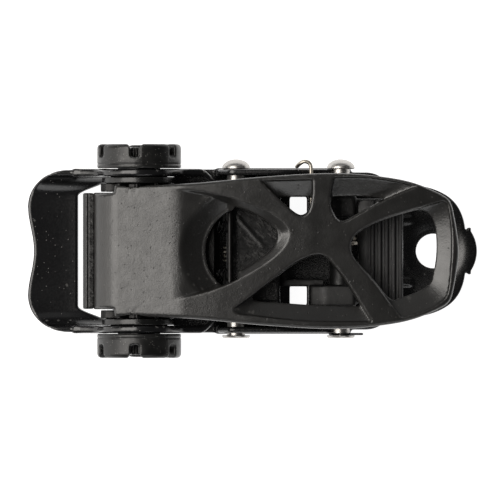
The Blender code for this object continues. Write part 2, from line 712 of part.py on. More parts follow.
def make_thumb_lever(steel, plastic, pivot):
    hub = (PIN2_X, PIN_Z)
    block = [(14.7, 6.6), (14.7, 11.4), (18.6, 12.9), (26.6, 12.9), (26.6, 6.4), (22.0, 5.0)]
    lever = add("thumb_lever", prism(block, 8.6, 14.0, "XZ"), steel, pivot)
    join(lever, prism(block, -14.0, -8.6, "XZ"))
    arm_shape = [(THUMB_NOSE_X, 7.6), (THUMB_NOSE_X, 9.1), (16.0, 9.4), (18.5, 9.4), (18.5, 7.0), (16.0, 6.8)]
    for _, sign in sides():
        join(lever, prism(arm_shape, *span(sign, (7.0, 8.8)), "XZ"))
        cut_block = span(sign, (8.55, 8.9))
        join(lever, box((15.0, 18.4), cut_block, (7.1, 9.2)))
    join(lever, box((THUMB_NOSE_X + 0.02, 9.6), (-8.2, 8.2), (7.62, 9.08)))
    for _, sign in sides():
        join(lever, box((24.9, 28.6), span(sign, (8.62, PAD_HALF - 0.02)), (10.42, 11.98)))
    join(lever, box((28.5, PAD_X[1]), (-PAD_HALF, PAD_HALF), (10.4, 12.0)))
    cut(lever, disc(RIVET_R + GAP, (-25, 25), hub, 24))
    pad = [(PAD_X[0], 12.3), (PAD_X[0], 13.4), (29.6, 13.8)]
    first, pitch, ridge = 30.1, 1.75, 1.0
    for i in range(5):
        x = first + i * pitch
        pad += [(x, 13.3), (x + 0.25, 14.3), (x + ridge, 14.3), (x + ridge + 0.25, 13.3)]
    pad += [(PAD_X[1], 12.3)]
    add("thumb_pad", prism(pad, -PAD_HALF, PAD_HALF, "XZ"), plastic, pivot)


def make_latch_spring(finish):
    """Torsion spring on the rear rivet. One leg hooks over the left wall, one lifts the pad."""
    hooked = [(11.75, 21.15, 12.2), (11.9, 21.3, 13.6), (12.6, 22.0, 14.6), (13.6, 22.6, 14.9)]
    hooked += [(14.7, 22.3, 14.9), (15.3, 21.4, 14.9), (15.3, 18.0, 14.9), (15.3, 13.0, 14.7)]
    hooked += [(15.4, 8.6, 14.3), (16.2, 7.2, 14.0), (18.0, 6.4, 13.4)]
    turns = coil((PIN2_X, 6.0, PIN_Z), 3.5, 3.25, -1.25, "Y", 12, math.radians(110), -1)
    pushing = [(27.2, 1.9, 8.7), (29.0, 1.9, 8.0), (33.5, 1.9, 7.8)]
    wire("latch_spring", hooked + turns + pushing, 0.5, finish)


def make_hold_spring(finish):
    """Torsion spring on the front rivet that holds the pawl in the wheels."""
    turns = coil((PIN1_X, -2.6, PIN_Z), 3.1, 4.0, 1.1, "Y", 12, math.radians(90))
    wire("hold_spring", turns, 0.4, finish)


def main():
    clear_scene()
    stamped = material("black_stamped_steel", (0.016, 0.016, 0.018), 0.22, 0.0)
    cast = material("black_cast_alloy", (0.045, 0.043, 0.041), 0.42, 0.0)
    plastic = material("black_plastic", (0.014, 0.014, 0.015), 0.5, 0.0)
    bright = material("bright_steel", (0.62, 0.6, 0.56), 0.25, 1.0)
    hardened = material("hardened_steel", (0.03, 0.03, 0.032), 0.35, 0.6)
    spring = material("spring_wire", (0.45, 0.41, 0.34), 0.3, 1.0)

    axle = (AXLE_X, 0, AXLE_Z)
    make_base(stamped)
    make_front_frame(stamped)
    make_bushes(plastic)
    make_rivet("front_rivet", PIN1_X, bright)
    make_rivet("rear_rivet", PIN2_X, bright)
    make_saddle(stamped)
    make_clip(stamped)
    make_drum(hardened, stamped, plastic, axle)
    make_lever(cast, axle)
    make_web_guard(plastic, axle)
    make_drive_pawl(hardened)
    make_spring_bar(hardened, axle)
    make_pawl_springs(spring)
    make_hold_pawl(hardened, (PIN1_X, 0, PIN_Z))
    make_thumb_lever(stamped, plastic, (PIN2_X, 0, PIN_Z))
    make_latch_spring(spring)
    make_hold_spring(spring)


main()
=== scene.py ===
"""Looks of the ratchet webbing buckle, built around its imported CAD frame.

The stamped, cast and moulded pieces are made as distance fields, which gives them the drafts,
fillets and rounded edges of the real processes, and each field is turned into a mesh. Lengths
are in millimetres until a mesh is made. The row frame is the CAD's: +X from the front scoop to
the bolt hole, +Z up from the mounting face.
"""

import math

import bpy
import numpy as np
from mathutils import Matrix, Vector


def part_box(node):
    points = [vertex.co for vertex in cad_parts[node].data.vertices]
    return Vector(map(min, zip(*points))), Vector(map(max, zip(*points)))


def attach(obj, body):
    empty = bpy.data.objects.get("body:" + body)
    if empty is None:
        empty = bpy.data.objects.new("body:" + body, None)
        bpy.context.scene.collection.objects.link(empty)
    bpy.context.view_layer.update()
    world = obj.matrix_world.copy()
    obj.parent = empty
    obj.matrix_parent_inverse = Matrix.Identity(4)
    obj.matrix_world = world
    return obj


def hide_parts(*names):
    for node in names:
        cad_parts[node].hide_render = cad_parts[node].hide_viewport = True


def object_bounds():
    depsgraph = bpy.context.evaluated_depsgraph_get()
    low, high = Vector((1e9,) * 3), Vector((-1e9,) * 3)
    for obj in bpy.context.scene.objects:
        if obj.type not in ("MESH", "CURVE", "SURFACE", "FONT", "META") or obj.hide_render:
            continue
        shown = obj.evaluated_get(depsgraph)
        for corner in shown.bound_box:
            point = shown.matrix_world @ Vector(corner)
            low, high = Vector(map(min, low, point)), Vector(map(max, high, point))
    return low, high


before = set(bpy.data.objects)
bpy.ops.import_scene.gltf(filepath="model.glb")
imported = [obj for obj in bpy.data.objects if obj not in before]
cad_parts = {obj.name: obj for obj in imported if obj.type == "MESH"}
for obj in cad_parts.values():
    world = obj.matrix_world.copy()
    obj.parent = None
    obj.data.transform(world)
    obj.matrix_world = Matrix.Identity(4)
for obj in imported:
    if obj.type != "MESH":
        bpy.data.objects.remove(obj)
CAD_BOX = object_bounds()

MM = 0.001


def corners(node):
    """The node's lowest and highest corner, in millimetres."""
    low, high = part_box(node)
    return low / MM, high / MM


def middle(node):
    """The middle of the node's box, in millimetres."""
    low, high = corners(node)
    return (low + high) / 2


# Driving places and sizes, from the CAD nodes
AXLE = middle("end_cap_left")
PIN1, PIN2 = middle("front_rivet"), middle("rear_rivet")
LEVER_LOW, LEVER_HIGH = corners("crank_lever")
FRAME_LOW, FRAME_HIGH = corners("front_frame")
BASE_LOW, BASE_HIGH = corners("base_channel")
CAP_LOW, CAP_HIGH = corners("end_cap_left")
WHEEL_LOW, WHEEL_HIGH = corners("ratchet_wheel_left")
PAD_LOW, PAD_HIGH = corners("thumb_pad")
GUARD_LOW, GUARD_HIGH = corners("web_guard")
BAR_LOW, BAR_HIGH = corners("drum_bar_upper")
DRUM_R, DRUM_HALF_LENGTH = (BAR_HIGH.x - BAR_LOW.x) / 2, BAR_HIGH.y
# Thickness of the base's floor, of its walls and of the frame's arms, and the rivets' holes
SHEET = 1.8
WALL = 1.5
ARM = 1.9
RIVET_HOLE_R = 2.4


# Fields: signed distances in millimetres, negative inside

def smax(a, b, k):
    """The larger of two fields, with the edge where they meet rounded over k."""
    near = np.maximum(k - np.abs(a - b), 0) / k
    return np.maximum(a, b) + near * near * k / 4


def smin(a, b, k):
    return -smax(-a, -b, k)


def without(a, b, k=0.4):
    """Field a with b cut out of it, the edge of the cut rounded over k."""
    return smax(a, -b, k)


def ease(t):
    t = np.clip(t, 0, 1)
    return t * t * (3 - 2 * t)


def slab(value, low, high):
    return np.maximum(low - value, value - high)


def block(x, y, z, low, high, k=0.3):
    flat = smax(slab(x, low[0], high[0]), slab(y, low[1], high[1]), k)
    return smax(flat, slab(z, low[2], high[2]), k)


def polygon(a, b, outline):
    """Distance to a closed outline in the plane of a and b."""
    a, b = np.broadcast_arrays(a, b)
    best = np.full(a.shape, 1e9, np.float32)
    inside = np.zeros(a.shape, bool)
    for (x0, y0), (x1, y1) in zip(outline, outline[1:] + outline[:1]):
        dx, dy = x1 - x0, y1 - y0
        if dx * dx + dy * dy < 1e-9:
            continue
        t = np.clip(((a - x0) * dx + (b - y0) * dy) / (dx * dx + dy * dy), 0, 1)
        best = np.minimum(best, (a - x0 - t * dx) ** 2 + (b - y0 - t * dy) ** 2)
        if dy:
            inside ^= ((y0 <= b) != (y1 <= b)) & (a - x0 < (b - y0) * dx / dy)
    return np.where(inside, -np.sqrt(best), np.sqrt(best))


def rounded(outline, radius, steps=6):
    """A closed outline with its corners eased. A point may carry a radius of its own."""
    points = []
    count = len(outline)
    for i, corner in enumerate(outline):
        here = Vector(corner[:2])
        reach = corner[2] if len(corner) > 2 else radius
        ends = []
        for other in (outline[i - 1], outline[(i + 1) % count]):
            away = Vector(other[:2]) - here
            ends.append(here + away * min(reach / max(away.length, 1e-6), 0.5))
        for step in range(steps + 1):
            t = step / steps
            point = ends[0] * (1 - t) ** 2 + here * 2 * t * (1 - t) + ends[1] * t * t
            points.append(tuple(point))
    return points


def mirrored(half):
    """A half outline from front to back, closed by its mirror image in Y."""
    return half + [(p[0], -p[1], *p[2:]) for p in reversed(half) if abs(p[1]) > 1e-6]


def line(points, x, width=0.0):
    """Height of a line of points at x, averaged over a width so that its corners are soft."""
    xs, zs = zip(*points)
    if not width:
        return np.interp(x, xs, zs).astype(np.float32)
    shifts = np.linspace(-width / 2, width / 2, 9)
    return (sum(np.interp(x + shift, xs, zs) for shift in shifts) / len(shifts)).astype(np.float32)


def surface(values, low, step):
    """The zero surface of a sampled field as (points, quads), one point in each cell it crosses."""
    inside = values < 0
    cells = np.array(values.shape) - 1
    filled = np.zeros(cells, np.int8)
    for i in (0, 1):
        for j in (0, 1):
            for k in (0, 1):
                filled += inside[i:i + cells[0], j:j + cells[1], k:k + cells[2]]
    crossed = (filled > 0) & (filled < 8)
    places = np.argwhere(crossed)
    number = np.full(crossed.shape, -1, np.int64)
    number[crossed] = np.arange(len(places))
    total = np.zeros((len(places), 3))
    hits = np.zeros(len(places))
    quads = []
    for axis in range(3):
        b, c = (axis + 1) % 3, (axis + 2) % 3
        unit = np.eye(3, dtype=int)
        for db in (0, 1):
            for dc in (0, 1):
                start = places + unit[b] * db + unit[c] * dc
                v0, v1 = values[tuple(start.T)], values[tuple((start + unit[axis]).T)]
                cut = (v0 < 0) != (v1 < 0)
                share = v0[cut] / (v0[cut] - v1[cut])
                total[cut] += start[cut] + unit[axis] * share[:, None]
                hits[cut] += 1
        head = [slice(None)] * 3
        tail = [slice(None)] * 3
        head[axis], tail[axis] = slice(None, -1), slice(1, None)
        starts = np.argwhere(inside[tuple(head)] != inside[tuple(tail)])
        ring = [starts - unit[b] - unit[c], starts - unit[c], starts, starts - unit[b]]
        quad = np.stack([number[tuple(cell.T)] for cell in ring], axis=1)
        facing = inside[tuple(starts.T)]
        quads.append(np.where(facing[:, None], quad, quad[:, ::-1]))
    points = np.asarray(low) + total / hits[:, None] * step
    return points, np.concatenate(quads)


def carve(name, low, high, step, field, budget=None):
    """A mesh object of a field(x, y, z) sampled over the box from low to high."""
    start = np.array(low, float) - 3 * step
    axes = [np.arange(a, b + 3 * step, step, dtype=np.float32) for a, b in zip(start, high)]
    x, y, z = np.meshgrid(*axes, indexing="ij", sparse=True)
    shape = tuple(len(a) for a in axes)
    values = np.ascontiguousarray(np.broadcast_to(field(x, y, z), shape), dtype=np.float32)
    points, quads = surface(values, start, step)
    made = add_mesh(name, points, quads.tolist())
    triangles = 2 * len(quads)
    if budget and triangles > budget:
        thin = made.modifiers.new("thin", "DECIMATE")
        thin.ratio = budget / triangles
        apply_modifiers(made)
    made.data.shade_smooth()
    return made


def add_mesh(name, points, faces):
    mesh = bpy.data.meshes.new(name)
    mesh.from_pydata((np.asarray(points) * MM).tolist(), [], faces)
    mesh.validate()
    made = bpy.data.objects.new(name, mesh)
    bpy.context.scene.collection.objects.link(made)
    return made


def apply_modifiers(made):
    """Bakes an object's modifiers into its mesh."""
    graph = bpy.context.evaluated_depsgraph_get()
    baked = bpy.data.meshes.new_from_object(made.evaluated_get(graph))
    made.modifiers.clear()
    made.data = baked


def copies(made, name):
    """A mirror image of a piece in Y, as a new piece."""
    mesh = made.data.copy()
    mirror = np.empty(len(mesh.vertices) * 3, np.float32)
    mesh.vertices.foreach_get("co", mirror)
    mirror = mirror.reshape(-1, 3)
    mirror[:, 1] *= -1
    mesh.vertices.foreach_set("co", mirror.ravel())
    mesh.flip_normals()
    twin = bpy.data.objects.new(name, mesh)
    bpy.context.scene.collection.objects.link(twin)
    return twin


def turn_over(piece):
    """Mirrors a piece in Z about the drum's axis, in place."""
    mesh = piece.data
    points = np.empty(len(mesh.vertices) * 3, np.float32)
    mesh.vertices.foreach_get("co", points)
    points = points.reshape(-1, 3)
    points[:, 2] = 2 * AXLE.z * MM - points[:, 2]
    mesh.vertices.foreach_set("co", points.ravel())
    mesh.flip_normals()


def place(piece, body, slot, finish, *nodes):
    """Gives a piece its material, body and the CAD nodes that it stands for; its slot is not used."""
    piece.data.materials.clear()
    piece.data.materials.append(finish)
    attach(piece, body)
    if nodes:
        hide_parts(*nodes)


# Crank lever

# Half outline of the lever in plan, from the hood's lip to the tip: x, y and corner radius
LEVER_HALF = [
    (-39.25, 14.6, 0.6), (-34.1, 14.6, 0.3), (-33.75, 16.4, 0.3), (-25.0, 16.4), (-12.5, 17.0),
    (0.0, 18.3), (12.5, 19.2), (20.0, 19.5), (27.5, 19.3), (37.5, 18.0), (42.5, 16.6),
    (47.5, 14.4), (49.6, 13.1, 1.2), (50.5, 11.4, 1.2), (51.6, 6.0), (52.4, 0.0),
]
# Height of the lever's face along X
CROWN = [
    (-39.3, 20.6), (-38.6, 22.6), (-36.8, 24.4), (-34.0, 26.1), (-17.0, 28.5), (-8.0, 28.5),
    (0.0, 28.2), (15.0, 27.2), (30.0, 25.4), (42.0, 23.2), (53.4, 20.6),
]
# The creases between the hood and its rims meet behind the teardrop, left of the middle
CREASE = [
    (-25.0, 16.3, 1.0), (-18.0, 15.7, 4.0), (-12.5, 14.9, 4.0), (-7.0, 14.0, 4.0),
    (-3.0, 12.8, 4.0), (3.0, 10.7, 4.0), (6.4, 8.7, 3.0), (9.0, 6.6, 2.0), (10.1, 4.2, 1.6),
    (8.9, 1.1, 2.0), (6.3, -1.5, 3.0), (3.0, -3.9, 4.0), (-0.4, -5.9, 4.0), (-4.1, -7.7, 4.0),
    (-8.9, -9.6, 4.0), (-14.0, -11.2, 4.0), (-25.0, -14.2, 1.0),
]
TEARDROP = [
    (-5.0, 9.4, 0.3), (-3.7, 11.1, 0.4), (0.5, 9.6, 4.0), (5.5, 6.6, 2.0), (7.2, 4.1, 1.3),
    (6.3, 1.5, 1.5), (4.3, -0.5, 3.0), (0.5, -3.3, 4.0), (-4.5, -6.1, 3.0), (-8.0, -7.9, 0.4),
    (-8.8, -6.8, 0.3),
]

# Each window: its edge on the lever's face, and its smaller opening below
UPPER_SMALL_FACE = [
    (2.75, 17.5, 0.3), (11.0, 9.4, 1.5), (12.9, 8.5, 1.6), (14.75, 9.75, 1.6), (15.75, 14.3, 3),
    (15.6, 17.8, 0.4),
]
UPPER_SMALL_OPENING = [
    (6.6, 13.5, 0.6), (11.2, 9.6, 1.5), (12.9, 8.8, 1.5), (14.6, 9.9, 1.4), (15.4, 12.2, 1),
    (15.4, 13.5, 0.5),
]
UPPER_LARGE_FACE = [
    (20.9, 18.3, 0.4), (19.9, 13.3, 3), (20.1, 10.7, 2), (21.3, 8.1, 1.5), (22.6, 7.2, 1.2),
    (24.2, 7.6, 1.2), (33.1, 12.7, 4), (41.7, 16.2, 0.3), (33.7, 17.9, 4), (27.5, 18.5, 4),
]
UPPER_LARGE_OPENING = [
    (20.6, 13.6, 0.5), (20.1, 12.0, 1), (20.3, 10.7, 2), (21.5, 8.3, 1.4), (22.6, 7.4, 1.1),
    (24.1, 7.8, 1.1), (29.5, 10.9, 3), (33.6, 13.0, 0.5), (30.5, 13.5, 2), (26.0, 13.8, 2),
]
TIP_FACE = [
    (24.9, 0.9, 2), (25.3, 2.9, 1.6), (26.9, 5.0, 2), (32.7, 8.0, 4), (42.0, 10.8, 4),
    (48.4, 12.5, 0.8), (49.4, 11.8, 0.8), (50.3, 6.6, 4), (50.5, 0.0, 4), (49.8, -8.8, 3),
    (49.1, -11.6, 1.2), (46.2, -13.9, 3), (42.0, -15.6, 3), (37.9, -16.7, 0.4), (34.5, -12.6, 3),
    (31.2, -7.9, 4), (27.5, -3.8, 3), (25.6, -1.4, 2),
]
TIP_OPENING = [
    (25.1, 0.9, 2), (25.5, 2.8, 1.6), (27.0, 4.7, 2), (32.7, 7.7, 4), (42.3, 10.5, 1.5),
    (44.8, 9.6, 1.5), (46.1, 7.3, 2), (46.7, 3.0, 3), (46.6, -1.5, 3), (45.9, -5.8, 2),
    (45.1, -8.2, 1.5), (43.2, -9.6, 2), (40.0, -10.9, 2), (35.6, -12.4, 0.5), (33.8, -10.9, 1),
    (31.3, -7.6, 3), (27.7, -3.7, 2), (25.8, -1.4, 2),
]
LOWER_FACE = [
    (16.5, -0.7, 2), (13.2, -1.8, 2), (9.85, -3.8, 3), (0.2, -11.4, 3), (-3.6, -14.1, 0.6),
    (-3.9, -15.0, 0.4), (-2.8, -15.7, 0.8), (9.85, -17.2, 4), (16.5, -17.7, 4), (30.4, -17.7, 0.3),
    (24.1, -7.55, 4), (22.2, -5.1, 3), (19.9, -2.1, 2), (18.4, -1.0, 1.5),
]
LOWER_OPENING = [
    (16.5, -0.9, 2), (13.3, -2.0, 2), (10.0, -4.0, 3), (4.0, -8.6, 3), (0.6, -11.3, 0.7),
    (0.6, -12.1, 0.5), (2.2, -12.6, 1), (10.0, -13.1, 3), (16.5, -13.6, 4), (27.6, -13.8, 0.6),
    (23.8, -7.6, 3), (22.0, -5.2, 3), (19.8, -2.3, 2), (18.3, -1.2, 1.5),
]
WINDOWS = [
    (UPPER_SMALL_FACE, UPPER_SMALL_OPENING),
    (UPPER_LARGE_FACE, UPPER_LARGE_OPENING),
    (TIP_FACE, TIP_OPENING),
    (LOWER_FACE, LOWER_OPENING),
]

# Underside of the hood and outline of the ears, in X and Z, and half plan of the hollow below
HOOD_CEILING = [
    (-37.7, 10), (-37.7, 20.8), (-36.4, 22.9), (-33.4, 24.6), (-28, 25.7), (-19.5, 26.4),
    (-13.0, 22.4), (-3.0, 22.4), (-3.0, 10),
]
CHEEK = [
    (-27.75, 12.0), (-10.0, 13.6), (-6.5, 15.3), (-3.2, 16.5), (-3.2, 24.0), (-27.75, 24.0),
]
HOLLOW_HALF = [
    (-3.15, 15.3), (12, 16.4), (20, 16.7), (30, 16.3), (40, 14.4), (48, 10.5),
]
LEVER_FOOT, HOOD_FOOT, HOOD_BACK = 16.2, 14.5, -20
LIP_X, LIP_LENGTH, LIP_SLOPE = -33, 6, 2.2
STRUT_DEPTH, FACE_EDGE, SLOPE_DEPTH = 6.0, 0.25, 2.9
CROWN_BLEND = 2.0
SCALLOP_X, SCALLOP_HOLE_R, SCALLOP_RIM_R = 0.0, 11.1, 16.9
SCALLOP_FLOOR, SCALLOP_BACK, SCALLOP_LIP = 23.6, 3.0, 0.55
BEAD_R, BEAD_OUT, BEAD_UP = 0.55, 0.45, 0.1
TEARDROP_FOOT = 20.5
HOOD_STEP, HOOD_STEP_LENGTH = 1.2, 10
# The band between a crease and the hood: narrow beside the hood, wider and shallower further back
BAND_NARROW, BAND_MORE, BAND_DROP = 0.7, 1.3, 1.15
EAR_Y, EAR_THICK, EAR_R = 13.8, 1.6, 8.8
WHEEL_ROOM_R, WHEEL_ROOM_TOP = 10.1, 16.5
WHEEL_BACK_X, WHEEL_BACK_TOP = (-22, -8.5), 21
PAWL_SLOT_X, PAWL_SLOT_Z, PAWL_SLOT_Y = (-20.3, -8.4), (17.6, 19.6), 16
SEAT_GAP = 0.3


def lever_face(x, y):
    """Height of the lever's face: the crown, lowered between the rims to the hood and its scallop."""
    crown = line(CROWN, x, CROWN_BLEND)
    hood = crown - HOOD_STEP * ease((x - HOOD_BACK) / HOOD_STEP_LENGTH)
    radius = np.hypot(x - SCALLOP_X, y)
    rim = line(CROWN, np.float32(SCALLOP_X - SCALLOP_RIM_R)) - SCALLOP_LIP
    share = np.maximum((radius - SCALLOP_HOLE_R) / (SCALLOP_RIM_R - SCALLOP_HOLE_R), 0)
    scallop = SCALLOP_FLOOR + (rim - SCALLOP_FLOOR) * (0.75 * share + 0.25 * share * share)
    crease = polygon(x, y, rounded(CREASE, 4))
    band = BAND_NARROW + BAND_MORE * ease((x + 12) / 10)
    inner = smin(hood, scallop, 0.5)
    inner = inner + (crown - BAND_DROP - inner) * ease((x + 6) / 3)
    return crown + (inner - crown) * np.clip(-crease / band, 0, 1)


def window(x, y, z, face, opening, crown):
    """A hole whose wall runs from its edge on the face to its opening below."""
    depth = np.clip((crown - FACE_EDGE - z) / SLOPE_DEPTH, 0, 1)
    opening = rounded(opening, 1)
    reach = max(float(polygon(np.float32(p[0]), np.float32(p[1]), opening)) for p in face)
    return smax(polygon(x, y, rounded(face, 1)), polygon(x, y, opening) - (1 - depth) * reach, 0.3)


def lever_field(x, y, z):
    """The casting: a shell under the face, hollow between its ears, with the windows cut through."""
    side, crown = np.abs(y), line(CROWN, x, CROWN_BLEND)
    outline = polygon(x, y, rounded(mirrored(LEVER_HALF), 4))
    front_slope = 1 + LIP_SLOPE * ease((LIP_X - x) / LIP_LENGTH)
    body = smax(outline, (z - lever_face(x, y)) / front_slope, 1.0)
    foot = np.where(x > HOOD_BACK, LEVER_FOOT, HOOD_FOOT)
    body = smax(body, foot - z, 0.5)
    hollow = smax(polygon(x, y, mirrored(HOLLOW_HALF)), z - crown + STRUT_DEPTH, 0.8)
    body = without(body, hollow, 0.6)
    ceiling = np.maximum(polygon(x, z, HOOD_CEILING), side - EAR_Y + EAR_THICK / 2)
    body = without(body, ceiling, 0.4)
    outside_ears = EAR_Y + EAR_THICK / 2 - side
    axle_r = np.hypot(x - AXLE.x, z - AXLE.z)
    room = np.minimum(axle_r - WHEEL_ROOM_R, np.maximum(x - HOOD_BACK, z - WHEEL_ROOM_TOP))
    room = np.minimum(room, np.maximum(slab(x, *WHEEL_BACK_X), z - WHEEL_BACK_TOP))
    body = without(body, np.maximum(room, outside_ears), 0.3)
    ear = np.abs(side - EAR_Y) - EAR_THICK / 2
    cheeks = np.minimum(axle_r - EAR_R, polygon(x, z, CHEEK))
    body = np.minimum(body, smax(ear, cheeks, 0.4))
    body = np.maximum(body, DRUM_R + SEAT_GAP - axle_r)
    slot = np.maximum(slab(x, *PAWL_SLOT_X), slab(z, *PAWL_SLOT_Z))
    body = without(body, np.maximum(slot, side - PAWL_SLOT_Y), 0.2)
    crease = polygon(x, y, rounded(CREASE, 4))
    from_scallop = np.hypot(x - SCALLOP_X, y) - SCALLOP_HOLE_R
    scallop_hole = smax(np.maximum(from_scallop, crease + 0.2), x + SCALLOP_BACK, 0.3)
    bead = np.hypot(from_scallop - BEAD_OUT, z - SCALLOP_FLOOR - BEAD_UP) - BEAD_R
    body = smin(body, smax(bead, crease + 0.3, 0.3), 0.3)
    teardrop = polygon(x, y, rounded(TEARDROP, 3))
    hole = np.maximum(np.minimum(scallop_hole, teardrop), TEARDROP_FOOT - z)
    body = without(body, hole, 0.45)
    for face, opening in WINDOWS:
        body = without(body, window(x, y, z, face, opening, crown), 0.45)
    return body


# Front frame

JOG = (-12.5, -6.25)
ARM_Y, TAIL_Y = 19.6, 15.25
BOSS_R, BUSH_HOLE_R = 9.8, 7.4
SCOOP_BACK, SCOOP_Z, SCOOP_CORNER, SCOOP_TOP, SCOOP_SHEET = -43.1, 3.2, 6.0, 12.5, 1.5
SCOOP_LIP, SCOOP_WAIST = 1.4, 1.5
SCOOP_FRONT, SCOOP_LEAN, WAIST_Y = -55.9, 0.8, 11.5
NOSE_START, NOSE_WIDTH, NOSE_LENGTH = 11.0, 9.45, 9.8
BACK_START, BACK_WIDTH, BACK_LENGTH = 13.8, 4.2, 7.5
# Lower and upper edge of the arms from the scoop to the jog
ARM_LOW = [(SCOOP_BACK, SCOOP_Z), (AXLE.x, 8.0), (JOG[1], 4.5)]
ARM_HIGH = [(SCOOP_BACK - 1, SCOOP_TOP), (AXLE.x, 21.0), (JOG[1], 13.0)]


def arm_field(x, y, z):
    """The frame's two arms, which step inwards at the jog to run between the base's walls."""
    share = ease((x - JOG[0]) / (JOG[1] - JOG[0]))
    wall = np.abs(np.abs(y) - (ARM_Y + (TAIL_Y - ARM_Y) * share)) - ARM / 2
    wall = wall / (1 + 0.35 * np.sin(np.pi * share))
    boss = np.hypot(x - AXLE.x, z - AXLE.z) - BOSS_R
    profile = smin(slab(z, line(ARM_LOW, x, 3), line(ARM_HIGH, x, 3)), boss, 3.0)
    arm = smax(wall, profile, 0.7)
    return np.maximum(arm, slab(x, SCOOP_BACK - 1.0, FRAME_HIGH.x - 0.05))


def scoop_field(x, y, z):
    """The frame's low front: a bent sheet with a waisted front edge and a raised lip."""
    side = np.abs(y)
    climb = np.clip((z - SCOOP_Z) / (SCOOP_TOP - SCOOP_Z), 0, 1)
    waist = SCOOP_WAIST * (np.cos(np.pi * np.minimum(side / WAIST_Y, 1)) + 1) / 2
    turn = np.clip((side - NOSE_START) / NOSE_WIDTH, 0, 1)
    front = SCOOP_FRONT + waist + NOSE_LENGTH * (1 - np.sqrt(1 - turn**2)) + SCOOP_LEAN * climb
    back = SCOOP_BACK + BACK_LENGTH * ease((side - BACK_START) / BACK_WIDTH)
    share = np.clip((x - front) / (back - front), 0, 1)
    lip = SCOOP_LIP * np.clip(1 - (z - SCOOP_Z) / SCOOP_CORNER, 0, 1) * (1 - share) ** 2
    height = z - lip
    centre_y, centre_z = ARM_Y - SCOOP_CORNER, SCOOP_Z + SCOOP_CORNER
    bend = np.abs(np.hypot(side - centre_y, height - centre_z) - SCOOP_CORNER)
    skin = np.where(side < centre_y, np.abs(height - SCOOP_Z), bend)
    skin = np.where((height > centre_z) & (side > centre_y), np.abs(side - ARM_Y), skin)
    skin = np.where((height > centre_z) & (side < centre_y), np.minimum(height - SCOOP_Z, 4), skin)
    edges = smax(front - x, x - back, 0.5)
    edges = smax(edges, z - SCOOP_TOP, 0.8)
    return smax(skin - SCOOP_SHEET / 2, edges, 0.9)


def frame_field(x, y, z):
    body = smin(arm_field(x, y, z), scoop_field(x, y, z), 0.8)
    body = without(body, np.hypot(x - AXLE.x, z - AXLE.z) - BUSH_HOLE_R, 0.3)
    for pin in (PIN1, PIN2):
        body = without(body, np.hypot(x - pin.x, z - pin.z) - RIVET_HOLE_R, 0.3)
    return body


# Base channel

WALL_PROFILE = [
    (-8.0, 0.9), (-8.0, 7.5), (-5.5, 13.5), (-4.5, 14.0), (23.8, 14.0), (24.8, 12.8), (24.8, 0.9),
]
FLOOR_HALF = [
    (-19.2, 20.5, 0.5), (25.0, 20.5, 0.3), (25.5, 19.75, 0.3), (31.0, 19.75, 2.0),
    (34.1, 17.9, 1.0), (40.0, 16.9, 3.0), (46.5, 15.7, 4.0), (51.4, 12.8, 3.0), (53.9, 8.0, 3.0),
    (54.4, 0.0),
]
TAB_X, TAB_R, TAB_HALF = 48.0, 9.0, 5.5
NIB_X, NIB_Y = (54.6, 55.5), (5.0, 5.9)
HOLE_X, HOLE_R, SINK_R, SINK_FOOT_R, SINK_FOOT_Z = 46.0, 4.25, 8.4, 5.1, 0.6
RIB_Y, RIB_X, RIB_Z, RIB_R = 7.65, (28.0, 40.0), 1.9, 1.0
DRAIN_X, DRAIN_Y = (10.0, 14.25), (8.6, 13.7)


def base_field(x, y, z):
    """The channel: floor with tab, ribs, windows and a sunk bolt hole, and the two walls."""
    side = np.abs(y)
    outline = polygon(x, y, rounded(mirrored(FLOOR_HALF), 1))
    tab = np.maximum(np.hypot(x - TAB_X, y) - TAB_R, side - TAB_HALF)
    nib = np.maximum(slab(x, *NIB_X), slab(side, *NIB_Y))
    outline = np.minimum(outline, np.minimum(tab, nib))
    floor = smax(outline, slab(z, 0, SHEET), 0.5)
    wall = np.abs(side - (BASE_HIGH.y - WALL / 2)) - WALL / 2
    wall = smax(wall, polygon(x, z, rounded(WALL_PROFILE, 0.8)), 0.5)
    body = smin(floor, wall, 1.4)
    along = np.clip(x, *RIB_X)
    rib = np.sqrt((x - along) ** 2 + (side - RIB_Y) ** 2 + (z - RIB_Z) ** 2) - RIB_R
    body = smin(body, rib, 0.9)
    radius = np.hypot(x - HOLE_X, y)
    rise = (SINK_R - SINK_FOOT_R) / (SHEET - SINK_FOOT_Z)
    cone = (radius - SINK_FOOT_R - (z - SINK_FOOT_Z) * rise) / math.hypot(1, rise)
    body = without(body, np.maximum(cone, SINK_FOOT_Z - z), 0.6)
    body = without(body, radius - HOLE_R, 0.3)
    drain = smax(slab(x, *DRAIN_X), slab(side, *DRAIN_Y), 0.8)
    body = without(body, np.maximum(drain, z - 5), 0.3)
    for pin in (PIN1, PIN2):
        body = without(body, np.hypot(x - pin.x, z - pin.z) - RIVET_HOLE_R, 0.3)
    return body


# Drum, wheels, caps and bushes

NOTCHES, NOTCH_TURN, NOTCH_HALF, NOTCH_FOOT_R = 6, math.radians(95.5), 1.15, 6.8
NOTCH_DEPTH, NOTCH_RIDGE = 3.4, 0.6
# Openings widen by FLARE over the last FLARE_DEPTH before the cap's outer face
FLARE, FLARE_DEPTH, RIM_FLARE = 0.6, 0.9, 0.2
CAP_R = (CAP_HIGH.x - CAP_LOW.x) / 2
RECESS, RECESS_R, SLIT_X, SEAT_DEPTH = 0.8, 7.3, -0.98, 2.6
